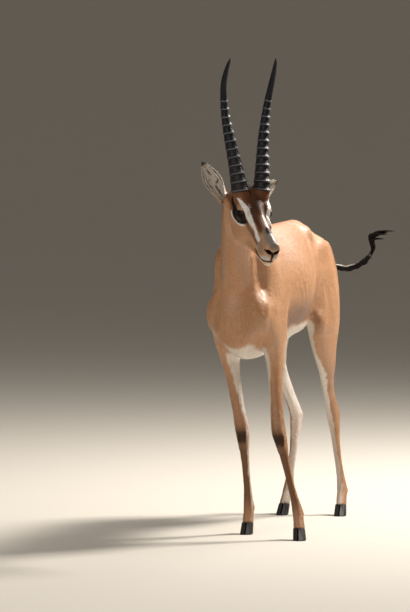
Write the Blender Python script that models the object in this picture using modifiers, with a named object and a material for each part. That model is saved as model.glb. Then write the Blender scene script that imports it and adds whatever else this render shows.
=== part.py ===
"""A Grant's gazelle ram at life size, standing still with its head turned to its left.

The animal faces -Y, its left side is +X and the floor is Z = 0. Its flesh is one form, made of
sections and muscles that are fused, smoothed and then parted by thin cuts. Horns, ears, eyes,
tail and claws are pieces of their own, set against what they grow from.
"""

import math

import bmesh
import bpy
import numpy as np
from mathutils import Euler, Matrix, Vector
from mathutils.bvhtree import BVHTree

GAP = 0.0003  # between neighbouring pieces
HORN_GAP = 0.0005  # between the head and a horn, where the head is creased
SIDES = (("left", 1), ("right", -1))

# Grain of the fused flesh, passes of smoothing and the triangles that each form keeps.
BODY_GRAIN = (0.0055, 70, 4850)
HEAD_GRAIN = (0.0022, 30, 2900)

# How much of that smoothing a place gets: by its height on the body, by s along the head.
BODY_SOFTNESS = ((0.30, 0.10), (0.56, 1.0))
HEAD_SOFTNESS = ((0.0, 0.12), (0.08, 0.35), (0.14, 0.6))

# Torso, from the breast to the buttocks: y, top, underside, half width, narrowing above and below.
TORSO = (
    (-0.418, 0.664, 0.590, 0.026, 0.0, 0.0),
    (-0.400, 0.716, 0.558, 0.052, 0.1, 0.1),
    (-0.355, 0.800, 0.526, 0.076, 0.3, 0.3),
    (-0.300, 0.856, 0.511, 0.092, 0.4, 0.4),
    (-0.220, 0.896, 0.506, 0.102, 0.5, 0.45),
    (-0.120, 0.898, 0.512, 0.114, 0.4, 0.35),
    (-0.020, 0.899, 0.530, 0.126, 0.35, 0.25),
    (0.060, 0.901, 0.541, 0.116, 0.3, 0.2),
    (0.120, 0.903, 0.553, 0.101, 0.3, 0.15),
    (0.180, 0.906, 0.576, 0.090, 0.35, 0.1),
    (0.260, 0.907, 0.605, 0.084, 0.40, 0.1),
    (0.340, 0.888, 0.645, 0.080, 0.45, 0.1),
    (0.420, 0.858, 0.680, 0.072, 0.35, 0.1),
    (0.475, 0.824, 0.715, 0.052, 0.2, 0.1),
    (0.503, 0.792, 0.745, 0.022, 0.0, 0.0),
)

# Neck, from the chest to the nape: centre, half width, half depth.
NECK = (
    (0.000, -0.170, 0.660, 0.080, 0.138),
    (0.000, -0.255, 0.715, 0.074, 0.122),
    (0.002, -0.330, 0.775, 0.059, 0.100),
    (0.010, -0.400, 0.842, 0.045, 0.078),
    (0.025, -0.458, 0.905, 0.043, 0.067),
    (0.042, -0.506, 0.955, 0.044, 0.061),
    (0.060, -0.540, 0.990, 0.040, 0.050),
)

# Legs, from the top down: height, front y, back y, half width.
FORELEG = (
    (0.680, -0.365, -0.180, 0.024),
    (0.620, -0.358, -0.150, 0.031),
    (0.570, -0.325, -0.146, 0.032),
    (0.520, -0.288, -0.174, 0.0280),
    (0.470, -0.270, -0.194, 0.0222),
    (0.400, -0.261, -0.208, 0.0204),
    (0.345, -0.258, -0.212, 0.0206),
    (0.305, -0.262, -0.209, 0.0216),
    (0.268, -0.257, -0.212, 0.0184),
    (0.230, -0.250, -0.217, 0.0136),
    (0.150, -0.247, -0.219, 0.0115),
    (0.105, -0.249, -0.215, 0.0135),
    (0.078, -0.255, -0.211, 0.0165),
    (0.056, -0.264, -0.223, 0.0155),
    (0.038, -0.274, -0.230, 0.0165),
    (0.010, -0.282, -0.236, 0.0160),
)
HINDLEG = (
    (0.840, 0.250, 0.440, 0.026),
    (0.780, 0.215, 0.486, 0.038),
    (0.710, 0.200, 0.502, 0.044),
    (0.640, 0.196, 0.489, 0.044),
    (0.580, 0.212, 0.468, 0.039),
    (0.520, 0.240, 0.448, 0.030),
    (0.460, 0.296, 0.444, 0.0220),
    (0.410, 0.352, 0.456, 0.0166),
    (0.365, 0.394, 0.478, 0.0150),
    (0.330, 0.422, 0.505, 0.0164),
    (0.302, 0.438, 0.522, 0.0178),
    (0.270, 0.450, 0.508, 0.0172),
    (0.235, 0.452, 0.489, 0.0136),
    (0.190, 0.449, 0.481, 0.0120),
    (0.130, 0.443, 0.474, 0.0118),
    (0.095, 0.438, 0.476, 0.0145),
    (0.075, 0.430, 0.476, 0.0165),
    (0.055, 0.416, 0.460, 0.0155),
    (0.038, 0.404, 0.450, 0.0163),
    (0.010, 0.396, 0.444, 0.0158),
)

# Where each leg stands: height, x of its middle, and how far it is moved along y.
STANCE = {
    "fore_left": ((0.68, 0.076, 0.0), (0.55, 0.077, 0.0), (0.45, 0.086, -0.025),
                  (0.36, 0.097, -0.047), (0.30, 0.108, -0.062), (0.14, 0.150, -0.074),
                  (0.075, 0.169, -0.078), (0.0, 0.186, -0.080)),
    "fore_right": ((0.68, -0.070, 0.0), (0.55, -0.066, 0.0), (0.30, -0.026, 0.024),
                   (0.075, -0.013, 0.046), (0.0, -0.010, 0.050)),
    "hind_left": ((0.84, 0.048, 0.0), (0.70, 0.056, 0.0), (0.58, 0.070, 0.0),
                  (0.46, 0.071, 0.0), (0.38, 0.062, 0.0), (0.29, 0.065, -0.002),
                  (0.19, 0.081, -0.005), (0.075, 0.102, -0.008), (0.0, 0.109, -0.010)),
    "hind_right": ((0.84, -0.050, 0.0), (0.70, -0.064, 0.0), (0.58, -0.082, 0.0),
                   (0.46, -0.086, 0.0), (0.38, -0.066, 0.0), (0.30, -0.053, 0.0),
                   (0.20, -0.055, -0.010), (0.075, -0.066, -0.020), (0.0, -0.070, -0.024)),
}
ROOT_CUT = {"fore": 0.499, "hind": 0.560}  # where each leg leaves the torso
ROOT_REACH = {"fore": (0.050, 0.090), "hind": (0.065, 0.170)}  # half sizes of that cut
SHANK_CUT = {"fore": 0.262, "hind": 0.236}  # under the knee and under the hock
SHANK_REACH = (0.03, 0.05)
NECK_CUT = ((0.0, -0.325, 0.770), (0.0, -0.776, 0.631))  # a point and the normal of the cut at the chest
NECK_REACH = 0.22

# Claws: toe and heel on the floor, and how far both walls lean back.
HOOF = {"fore": (-0.300, -0.240), "hind": (0.378, 0.438)}
TOE_LEAN = 0.80
HEEL_LEAN = 0.25
CLAW_WIDTH = 0.0165
CLEFT = 0.0014  # half of it
CORONET = 0.030  # height of its middle
CORONET_NORMAL = (0.0, 0.30, 0.95)
CORONET_REACH = 0.045
CLAW_LEVELS = ((0.0, 0.97), (0.005, 1.02), (0.055, 0.86))  # height, width
CLAW_STEPS = 8
CLAW_EDGE = 0.16  # least width at toe and heel, against the widest place
CLAW_FULLNESS = (0.72, 0.55)  # where the outer wall is widest, and how fast it gets there
CLAW_HOLLOW = 0.0012  # between the two claws

# Muscles and bones under the skin: centre, half sizes and forward tilt in degrees, on both sides.
MUSCLES = (
    ((0.058, -0.262, 0.745), (0.034, 0.066, 0.120), 32),  # shoulder blade
    ((0.064, -0.340, 0.648), (0.035, 0.052, 0.066), 10),  # point of the shoulder
    ((0.078, -0.222, 0.640), (0.030, 0.080, 0.072), -20),  # upper arm
    ((0.026, -0.383, 0.612), (0.032, 0.034, 0.058), 0),  # breast
    ((0.036, 0.228, 0.856), (0.027, 0.055, 0.032), 18),  # hook bone
    ((0.052, 0.305, 0.806), (0.036, 0.085, 0.045), 15),  # rump muscle behind it
    ((0.034, 0.466, 0.776), (0.028, 0.036, 0.036), 0),  # pin bone
    ((0.086, 0.236, 0.596), (0.020, 0.036, 0.042), 30),  # stifle
    ((0.060, 0.140, 0.625), (0.022, 0.090, 0.040), 28),  # flank fold
)
MIDLINE_FORMS = (
    ((0.0, 0.125, 0.560), (0.013, 0.060, 0.016), 18),  # sheath
    ((0.0, 0.352, 0.622), (0.030, 0.030, 0.042), 0),  # scrotum
)
DEWCLAW = (0.0085, 0.022, 0.0705)  # beside the fetlock, behind its middle, height
DEWCLAW_SIZES = (0.0060, 0.0065, 0.0095)
DEWCLAW_TILT = -30

# Head, from the nose back: s, top, underside, half width, narrowing above and below.
HEAD = (
    (0.000, 0.016, -0.019, 0.0130, 0.0, 0.0),
    (0.005, 0.026, -0.029, 0.0205, 0.1, 0.1),
    (0.022, 0.034, -0.034, 0.0248, 0.2, 0.2),
    (0.045, 0.039, -0.036, 0.0255, 0.3, 0.25),
    (0.075, 0.046, -0.038, 0.0260, 0.35, 0.3),
    (0.105, 0.055, -0.043, 0.0288, 0.3, 0.35),
    (0.130, 0.064, -0.051, 0.0335, 0.1, 0.4),
    (0.152, 0.073, -0.059, 0.0395, -0.1, 0.4),
    (0.175, 0.082, -0.065, 0.0435, -0.3, 0.4),
    (0.200, 0.088, -0.066, 0.0450, -0.35, 0.35),
    (0.225, 0.088, -0.056, 0.0440, -0.2, 0.3),
    (0.250, 0.076, -0.040, 0.0405, 0.1, 0.2),
    (0.272, 0.054, -0.012, 0.0300, 0.2, 0.1),
)
JAW = (
    (0.006, -0.029, -0.040, 0.0075, 0.0, 0.0),
    (0.013, -0.025, -0.049, 0.0140, 0.1, 0.1),
    (0.035, -0.020, -0.051, 0.0170, 0.1, 0.3),
    (0.070, -0.018, -0.050, 0.0200, 0.1, 0.4),
    (0.110, -0.016, -0.055, 0.0235, 0.1, 0.4),
    (0.150, -0.020, -0.062, 0.0270, 0.1, 0.4),
    (0.195, -0.020, -0.067, 0.0270, 0.1, 0.4),
)
HEAD_YAW = math.radians(41.5)  # to the animal's left
HEAD_PITCH = math.radians(28)  # nose down
HEAD_SCALE = 1.03
HEAD_MARK = Vector((0.0, 0.190, 0.084))  # in the head's own sizes: across, s and up
HEAD_PLACE = Vector((0.109, -0.580, 1.006))  # where that mark is
HEAD_EGGS = (
    ((0.0312, 0.156, 0.0350), (0.0226, 0.0310, 0.0240), (0, 0, 0)),  # eyelids
    ((0.0290, 0.176, 0.0510), (0.0210, 0.0460, 0.0200), (0, 0, 0)),  # brow
    ((0.0150, 0.124, 0.0285), (0.0180, 0.0500, 0.0170), (0, 0, 0)),  # ridge in front of the eye
    ((0.0320, 0.188, 0.0140), (0.0165, 0.0520, 0.0170), (0, 0, 0)),  # cheekbone
    ((0.0210, 0.168, -0.0200), (0.0205, 0.0500, 0.0390), (0, 0, 0)),  # cheek
    ((0.0095, 0.016, 0.0090), (0.0140, 0.0190, 0.0160), (0, 0, 0)),  # wing of the nostril
    ((0.0110, 0.029, -0.0150), (0.0150, 0.0300, 0.0185), (0, 0, 0)),  # upper lip
    ((0.0330, 0.232, 0.0270), (0.0200, 0.0400, 0.0240), (0, 0, 0)),  # root of the ear
)
EYE = (0.0318, 0.153, 0.0352)
EYE_RADIUS = 0.0196
EYE_SEGMENTS = 14
LID_OPENING = (0.0130, 0.0195, 0.0146)  # half sizes: depth, length, height
LID_TURN = 32  # degrees that the eye faces forward of square to the head
LID_TILT = 20  # degrees that its front corner is lower
NOSTRIL = ((0.0128, -0.0005, 0.0030), (0.0100, 0.0105, 0.0056), (0, -34, 28))
MOUTH = ((0.071, -0.0265), (0.056, -0.0320), (0.038, -0.0345), (0.020, -0.0335), (0.009, -0.0305))
MOUTH_RADIUS = 0.0017
NAPE = ((0.262, 0.062), (0.228, -0.062))  # s and height of the cut behind the head
NAPE_REACH = 0.16
THROAT = (3, (0.0, -0.7, 0.7))  # neck section and normal from which the neck is fused with the head

# Horns, from the root up: rise, lean back, splay, half width and half depth.
HORN_ROOT = (0.0335, 0.205, 0.084)
HORN = (
    (-0.008, -0.001, -0.001, 0.0235, 0.0277),
    (0.000, 0.000, 0.000, 0.0230, 0.0270),
    (0.070, 0.013, 0.008, 0.0182, 0.0205),
    (0.140, 0.027, 0.018, 0.0148, 0.0160),
    (0.197, 0.034, 0.027, 0.0114, 0.0124),
    (0.253, 0.031, 0.035, 0.0094, 0.0099),
    (0.296, 0.020, 0.040, 0.0084, 0.0088),
    (0.336, 0.001, 0.040, 0.0062, 0.0064),
    (0.358, -0.011, 0.038, 0.0036, 0.0038),
    (0.369, -0.017, 0.036, 0.0008, 0.0008),
)
HORN_SIDES = 14
RINGS = 12
RINGED = (-0.006, 0.271)  # from and to
RING_HEIGHT = 0.0068
RING_SHAPE = ((0.0, 0.0), (0.18, 1.0), (0.55, 0.35))  # along one ring: place, height
RING_FADE = 0.45  # how much lower the last ring is
RING_FRONT = 0.5  # how much of a ring's height only its front has
SMOOTH_STEPS = 12  # sections of the smooth tip

# The bony foot, under the skin, that a horn stands on.
PEDICLE = (0.0225, 0.0270)  # half width and half depth
PEDICLE_ROWS = ((-1.2, 0.75), (-0.5, 1.10), (0.2, 1.14), (0.6, 1.06), (1.0, 0.98))  # along it, and how wide
PEDICLE_ENDS = ((-0.030, -0.004, -0.003), (0.0, 0.0, 0.0))  # rise, lean back and splay
PEDICLE_LEAN = 0.0060

# Ears: root in the head's own sizes, reach to the tip in the world and the way the cup faces.
EARS = {
    "right": ((-0.048, 0.246, 0.022), (-0.078, 0.040, 0.112), (0.20, -0.96, 0.30)),
    "left": ((0.047, 0.246, 0.022), (0.030, 0.124, 0.054), (0.95, -0.10, -0.10)),
}
EAR_SECTIONS = 16
EAR_STEPS = 7  # points across one face of a section
# Along the ear: place, half width, depth of the cup, half opening in degrees, wall.
EAR = (
    (0.00, 0.0165, 0.0150, 150, 0.0080),
    (0.14, 0.0175, 0.0160, 140, 0.0055),
    (0.30, 0.0220, 0.0170, 112, 0.0034),
    (0.48, 0.0265, 0.0160, 92, 0.0028),
    (0.66, 0.0248, 0.0130, 84, 0.0026),
    (0.82, 0.0175, 0.0090, 80, 0.0024),
    (0.94, 0.0085, 0.0046, 78, 0.0020),
    (1.00, 0.0026, 0.0018, 76, 0.0012),
)

# Tail and the core of its tuft: centre, half width and half depth.
TAIL = (
    (0.000, 0.455, 0.800, 0.0170, 0.0150),
    (0.004, 0.498, 0.788, 0.0150, 0.0130),
    (0.030, 0.530, 0.762, 0.0115, 0.0100),
    (0.067, 0.547, 0.747, 0.0095, 0.0085),
    (0.100, 0.565, 0.750, 0.0085, 0.0076),
    (0.134, 0.590, 0.772, 0.0078, 0.0070),
    (0.147, 0.598, 0.784, 0.0075, 0.0068),
)
TUFT = (
    (0.147, 0.598, 0.784, 0.0075, 0.0068),
    (0.154, 0.605, 0.798, 0.0072, 0.0066),
    (0.153, 0.610, 0.811, 0.0062, 0.0060),
    (0.147, 0.614, 0.825, 0.0072, 0.0065),
    (0.148, 0.615, 0.838, 0.0090, 0.0078),
    (0.161, 0.614, 0.847, 0.0090, 0.0068),
    (0.178, 0.611, 0.851, 0.0070, 0.0048),
    (0.204, 0.606, 0.856, 0.0022, 0.0016),
)
# Locks of hair: root, bend and tip, and the half width and half thickness at the bend.
TAIL_LOCKS = (
    ((0.070, 0.550, 0.745), (0.090, 0.560, 0.739), (0.118, 0.578, 0.752), 0.0060, 0.0032),
    ((0.094, 0.562, 0.744), (0.114, 0.575, 0.747), (0.138, 0.592, 0.767), 0.0060, 0.0032),
    ((0.116, 0.577, 0.753), (0.136, 0.590, 0.761), (0.1475, 0.5975, 0.7815), 0.0050, 0.0028),
)
LOCK_TIP = 0.0006  # half width and half thickness there
TUFT_LOCKS = (
    ((0.149, 0.601, 0.790), (0.1585, 0.608, 0.803), (0.158, 0.613, 0.828), 0.0055, 0.0036),
    ((0.152, 0.611, 0.812), (0.153, 0.610, 0.830), (0.193, 0.604, 0.836), 0.0070, 0.0038),
    ((0.146, 0.612, 0.824), (0.146, 0.607, 0.842), (0.207, 0.596, 0.849), 0.0075, 0.0038),
    ((0.147, 0.616, 0.826), (0.152, 0.622, 0.847), (0.215, 0.612, 0.862), 0.0075, 0.0038),
    ((0.148, 0.614, 0.832), (0.164, 0.612, 0.851), (0.229, 0.602, 0.861), 0.0075, 0.0038),
)
TUFT_CUT_REACH = 0.040


def spline(rows, count, keys=3):
    """Rows read at evenly spaced places along a smooth curve through them."""
    rows = np.array(rows, float)
    steps = np.linalg.norm(np.diff(rows[:, :keys], axis=0), axis=1)
    at = np.concatenate([[0.0], np.cumsum(np.sqrt(steps))])
    return curve_at(rows, at, np.linspace(0.0, at[-1], count))


def curve_at(rows, at, wanted):
    """A smooth curve through rows that stand at the places `at`, read at the wanted places."""
    slopes = np.gradient(rows, at, axis=0)
    i = np.clip(np.searchsorted(at, wanted, side="right") - 1, 0, len(at) - 2)
    span = (at[i + 1] - at[i])[:, None]
    t = (wanted - at[i])[:, None] / span
    return (
        (2 * t**3 - 3 * t**2 + 1) * rows[i]
        + (t**3 - 2 * t**2 + t) * span * slopes[i]
        + (3 * t**2 - 2 * t**3) * rows[i + 1]
        + (t**3 - t**2) * span * slopes[i + 1]
    )


def object_of(name, mesh):
    """A new object of that mesh."""
    made = bpy.data.objects.new(name, mesh)
    bpy.context.scene.collection.objects.link(made)
    return made


def mesh_of(name, build):
    """A mesh made by a function that fills a bmesh."""
    bm = bmesh.new()
    build(bm)
    bmesh.ops.recalc_face_normals(bm, faces=bm.faces)
    mesh = bpy.data.meshes.new(name)
    bm.to_mesh(mesh)
    bm.free()
    return mesh


def skin_rings(bm, rings):
    """Joins rings of points into a closed tube with flat ends."""
    loops = [[bm.verts.new(p) for p in ring] for ring in rings]
    count = len(loops[0])
    for low, high in zip(loops, loops[1:]):
        for k in range(count):
            n = (k + 1) % count
            bm.faces.new((low[k], low[n], high[n], high[k]))
    bm.faces.new(loops[0][::-1])
    bm.faces.new(loops[-1])


def section(centre, side, up, half_width, half_height, narrow_top=0.0, narrow_low=0.0, sides=20):
    """One ring of an egg-shaped section."""
    ring = []
    for k in range(sides):
        angle = 2 * math.pi * k / sides
        c, s = math.cos(angle), math.sin(angle)
        width = half_width * (1 - (narrow_top if s > 0 else narrow_low) * s * s)
        ring.append(centre + side * (width * c) + up * (half_height * s))
    return ring


def barrel(name, rows, count, place, sides=28):
    """A form of upright sections: position, top, underside, half width, narrowing above and below."""
    def build(bm):
        rings = []
        for at, top, low, half_width, above, below in spline(rows, count):
            centre = Vector((0.0, at, (top + low) / 2))
            ring = section(centre, Vector((1, 0, 0)), Vector((0, 0, 1)), half_width,
                           (top - low) / 2, above, below, sides)
            rings.append([place(p) for p in ring])
        skin_rings(bm, rings)
    return mesh_of(name, build)


def hose(name, points, across, sides=16):
    """A tube with sections square to its path: centre, half width and half depth."""
    paths = np.gradient(points[:, :3], axis=0)
    def build(bm):
        rings = []
        for row, path in zip(points, paths):
            forward = Vector(path).normalized()
            side = (Vector(across) - forward * forward.dot(Vector(across))).normalized()
            rings.append(section(Vector(row[:3]), side, forward.cross(side), row[3], row[4], sides=sides))
        skin_rings(bm, rings)
    return mesh_of(name, build)


def standing(limb, z):
    """How far a limb is moved across and along the animal at a height."""
    stance = STANCE[limb][::-1]
    heights = [row[0] for row in stance]
    return [np.interp(z, heights, [row[k] for row in stance]) for k in (1, 2)]


def limb_rows(limb):
    """The sections of that limb."""
    return FORELEG if limb.startswith("fore") else HINDLEG


def limb_centre(limb, z):
    """The middle of a limb at a height."""
    rows = limb_rows(limb)[::-1]
    heights = [row[0] for row in rows]
    front, back = [np.interp(z, heights, [row[k] for row in rows]) for k in (1, 2)]
    x, moved = standing(limb, z)
    return Vector((x, (front + back) / 2 + moved, z))


def leg(limb, count=90, sides=20):
    """A leg of level sections, standing where its stance says."""
    def build(bm):
        rings = []
        for z, front, back, half_width in spline(limb_rows(limb), count):
            x, moved = standing(limb, z)
            centre = Vector((x, (front + back) / 2 + moved, z))
            rings.append(section(centre, Vector((1, 0, 0)), Vector((0, 1, 0)), half_width,
                                 (back - front) / 2, sides=sides))
        skin_rings(bm, rings)
    return mesh_of(limb, build)


def egg(centre, half_sizes, turns=(0, 0, 0), place=None, segments=20):
    """An ellipsoid, turned by degrees about X, Y and Z, and set where `place` puts it."""
    def build(bm):
        bmesh.ops.create_uvsphere(bm, u_segments=segments, v_segments=segments * 2 // 3, radius=1.0)
        turned = Euler([math.radians(turn) for turn in turns]).to_matrix().to_4x4()
        matrix = Matrix.Translation(centre) @ turned @ Matrix.Diagonal((*half_sizes, 1.0))
        bmesh.ops.transform(bm, matrix=matrix, verts=bm.verts)
        if place:
            for vert in bm.verts:
                vert.co = place(vert.co)
    return mesh_of("egg", build)


def mirrored(centre, side):
    """A centre given for the left side, on that side."""
    return (side * centre[0], *centre[1:])


def opposed(turns, side):
    """Turns given for the left side, on that side."""
    return (turns[0], side * turns[1], side * turns[2])


def head_axes():
    """The head's left, its own forward axis and its own up, in the world."""
    forward = Vector((math.sin(HEAD_YAW), -math.cos(HEAD_YAW), 0.0))
    left = Vector((math.cos(HEAD_YAW), math.sin(HEAD_YAW), 0.0))
    axis = forward * math.cos(HEAD_PITCH) - Vector((0, 0, math.sin(HEAD_PITCH)))
    up = forward * math.sin(HEAD_PITCH) + Vector((0, 0, math.cos(HEAD_PITCH)))
    return left, axis, up


def head_point(p):
    """A point given in the head's own sizes: x to the left, y back from the nose, z up."""
    left, axis, up = head_axes()
    away = (Vector(p) - HEAD_MARK) * HEAD_SCALE
    return HEAD_PLACE + left * away.x - axis * away.y + up * away.z


def slab(centre, normal, half_width, half_length):
    """A flat cutter as thin as the gap between pieces."""
    def build(bm):
        bmesh.ops.create_cube(bm, size=2.0)
        turned = Vector(normal).to_track_quat("Z", "Y").to_matrix().to_4x4()
        sizes = Matrix.Diagonal((half_width, half_length, GAP / 2, 1.0))
        matrix = Matrix.Translation(centre) @ turned @ sizes
        bmesh.ops.transform(bm, matrix=matrix, verts=bm.verts)
    return mesh_of("slab", build)


def evaluated(obj):
    """The object's mesh with its modifiers applied."""
    graph = bpy.context.evaluated_depsgraph_get()
    return bpy.data.meshes.new_from_object(obj.evaluated_get(graph))


def carved(mesh, tools, operation="DIFFERENCE"):
    """A mesh with others cut out of it or joined to it, one after another."""
    for tool in tools:
        obj = object_of("work", mesh)
        cutter = object_of("cutter", tool)
        boolean = obj.modifiers.new("Carve", "BOOLEAN")
        boolean.operation = operation
        boolean.solver = "MANIFOLD"
        boolean.object = cutter
        mesh = evaluated(obj)
        bpy.data.objects.remove(obj)
        bpy.data.objects.remove(cutter)
    return mesh


def swollen(mesh, by):
    """A copy pushed out along its normals."""
    copy = mesh.copy()
    points = [v.co + v.normal * by for v in mesh.vertices]
    for vert, point in zip(copy.vertices, points):
        vert.co = point
    return copy


def fused(meshes, grain, softness):
    """Closed meshes melted into one skin, smoothed as softness says."""
    voxel, smoothing, _ = grain
    bm = bmesh.new()
    for mesh in meshes:
        bm.from_mesh(mesh)
    whole = bpy.data.meshes.new("fused")
    bm.to_mesh(whole)
    bm.free()
    obj = object_of("work", whole)
    remesh = obj.modifiers.new("Fuse", "REMESH")
    remesh.mode = "VOXEL"
    remesh.voxel_size = voxel
    obj.data = evaluated(obj)
    obj.modifiers.clear()
    soft = obj.vertex_groups.new(name="Soft")
    for vert in obj.data.vertices:
        soft.add([vert.index], softness(vert.co), "REPLACE")
    smooth = obj.modifiers.new("Smooth", "SMOOTH")
    smooth.factor = 0.5
    smooth.iterations = smoothing
    smooth.vertex_group = soft.name
    mesh = evaluated(obj)
    bpy.data.objects.remove(obj)
    return mesh


def thinned(mesh, triangles):
    """The same form with about that many triangles."""
    obj = object_of("work", mesh)
    faces = sum(len(p.vertices) - 2 for p in mesh.polygons)
    thin = obj.modifiers.new("Thin", "DECIMATE")
    thin.ratio = min(1.0, triangles / faces)
    made = evaluated(obj)
    bpy.data.objects.remove(obj)
    return made


def body_softness(p):
    """The trunk is smoothed far more than the thin legs."""
    return float(np.interp(p.z, *zip(*BODY_SOFTNESS)))


def head_softness(p):
    """The muzzle is smoothed less than the skull."""
    axis = head_axes()[1]
    s = HEAD_MARK.y - (p - HEAD_PLACE).dot(axis) / HEAD_SCALE
    return float(np.interp(s, *zip(*HEAD_SOFTNESS)))


def parts_of(mesh):
    """The separate closed surfaces of a mesh."""
    bm = bmesh.new()
    bm.from_mesh(mesh)
    todo = set(bm.faces)
    parts = []
    while todo:
        stack = [todo.pop()]
        found = []
        while stack:
            face = stack.pop()
            found.append(face)
            for edge in face.edges:
                for other in edge.link_faces:
                    if other in todo:
                        todo.remove(other)
                        stack.append(other)
        part = bmesh.new()
        copies = {}
        for face in found:
            corners = []
            for vert in face.verts:
                if vert not in copies:
                    copies[vert] = part.verts.new(vert.co)
                corners.append(copies[vert])
            if part.faces.get(corners) is None:
                part.faces.new(corners)
        parts.append(part)
    meshes = []
    for part in parts:
        made = bpy.data.meshes.new("part")
        part.to_mesh(made)
        part.free()
        meshes.append(made)
    bm.free()
    return meshes


def part_near(meshes, point):
    """The part with a vertex nearest to a point."""
    return min(meshes, key=lambda mesh: min((v.co - Vector(point)).length for v in mesh.vertices))


def largest(mesh):
    """The part with the most vertices."""
    return max(parts_of(mesh), key=lambda part: len(part.vertices))


def body_forms():
    """The torso, neck, legs, muscles and the back of the head, as closed meshes."""
    forms = [barrel("torso", TORSO, 60, Vector), hose("neck", spline(NECK, 30), (1, 0, 0), 24)]
    forms.append(barrel("skull", HEAD, 40, head_point))
    for limb in STANCE:
        forms.append(leg(limb))
        beside, behind, height = DEWCLAW
        for _, side in SIDES:
            centre = limb_centre(limb, height) + Vector((side * beside, behind, 0.0))
            forms.append(egg(centre, DEWCLAW_SIZES, (DEWCLAW_TILT, 0, 0)))
    for centre, sizes, tilt in MUSCLES:
        for _, side in SIDES:
            forms.append(egg(mirrored(centre, side), sizes, (tilt, 0, 0)))
    forms += [egg(centre, sizes, (tilt, 0, 0)) for centre, sizes, tilt in MIDLINE_FORMS]
    return forms


def beyond(mesh, point, normal):
    """What a mesh has on the far side of a plane, closed there."""
    bm = bmesh.new()
    bm.from_mesh(mesh)
    everything = bm.verts[:] + bm.edges[:] + bm.faces[:]
    bmesh.ops.bisect_plane(bm, geom=everything, plane_co=point, plane_no=normal, clear_inner=True)
    bmesh.ops.holes_fill(bm, edges=[edge for edge in bm.edges if edge.is_boundary], sides=0)
    made = bpy.data.meshes.new("beyond")
    bm.to_mesh(made)
    bm.free()
    return made


def head_forms(body):
    """The skull with its muzzle, cheeks, orbits, lips and roots of horns and ears, on the body's neck."""
    forms = [barrel("skull", HEAD, 60, head_point), barrel("jaw", JAW, 40, head_point)]
    row, normal = THROAT
    forms.append(beyond(body, NECK[row][:3], normal))
    forms += [pedicle(side) for _, side in SIDES]
    for centre, sizes, turns in HEAD_EGGS:
        for _, side in SIDES:
            forms.append(egg(mirrored(centre, side), sizes, opposed(turns, side), head_point))
    return forms


def lip_line(head):
    """Points on the head's own surface along the line of the mouth, from corner to corner."""
    surface = BVHTree.FromPolygons([v.co for v in head.vertices], [p.vertices for p in head.polygons])
    left, axis, _ = head_axes()
    halves = []
    for _, side in SIDES:
        half = []
        for s, up in MOUTH:
            hit = surface.ray_cast(head_point((side * 0.1, s, up)), left * -side)
            half.append(hit[0])
        halves.append(half)
    front = surface.ray_cast(head_point((0, -0.1, MOUTH[-1][1] + 0.002)), -axis)[0]
    return halves[0] + [front] + halves[1][::-1]


def face_tools(head):
    """What is cut out of the head: eyeballs, lid openings, nostrils and the line of the mouth."""
    tools = []
    for _, side in SIDES:
        eye = Vector(mirrored(EYE, side))
        turns = opposed((LID_TILT, 0, -LID_TURN), side)
        out = Matrix.Rotation(math.radians(turns[2]), 3, "Z") @ Vector((side, 0, 0))
        tools.append(egg(eye, [EYE_RADIUS + GAP] * 3, (0, 0, 0), head_point, EYE_SEGMENTS))
        tools.append(egg(eye + out * EYE_RADIUS, LID_OPENING, turns, head_point))
        centre, sizes, turns = NOSTRIL
        tools.append(egg(mirrored(centre, side), sizes, opposed(turns, side), head_point, 12))
    rows = [(*p, MOUTH_RADIUS, MOUTH_RADIUS) for p in lip_line(head)]
    tools.append(hose("mouth", spline(rows, 40), head_axes()[2], 8))
    return tools


def nape_slab():
    """The cut between head and neck."""
    (s1, up1), (s2, up2) = NAPE
    high, low = head_point((0, s1, up1)), head_point((0, s2, up2))
    left = head_axes()[0]
    return slab((high + low) / 2, left.cross(high - low), NAPE_REACH, NAPE_REACH)


def horn_path(side, rows):
    """Middles of a horn's sections."""
    left, axis, _ = head_axes()
    back = Vector((-axis.x, -axis.y, 0.0)).normalized()
    root = head_point(mirrored(HORN_ROOT, side))
    return [root + Vector((0, 0, row[0])) + back * row[1] + left * (side * row[2]) for row in rows]


def pedicle(side):
    """The bony foot, under the skin, that a horn stands on."""
    low, high = horn_path(side, PEDICLE_ENDS)
    wide, deep = PEDICLE
    inward = head_axes()[0] * (-side * PEDICLE_LEAN)
    rows = [(*(low.lerp(high, t) + inward * (1 - t)), wide * k, deep * k) for t, k in PEDICLE_ROWS]
    return hose("pedicle", np.array(rows), head_axes()[0], 20)


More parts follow.
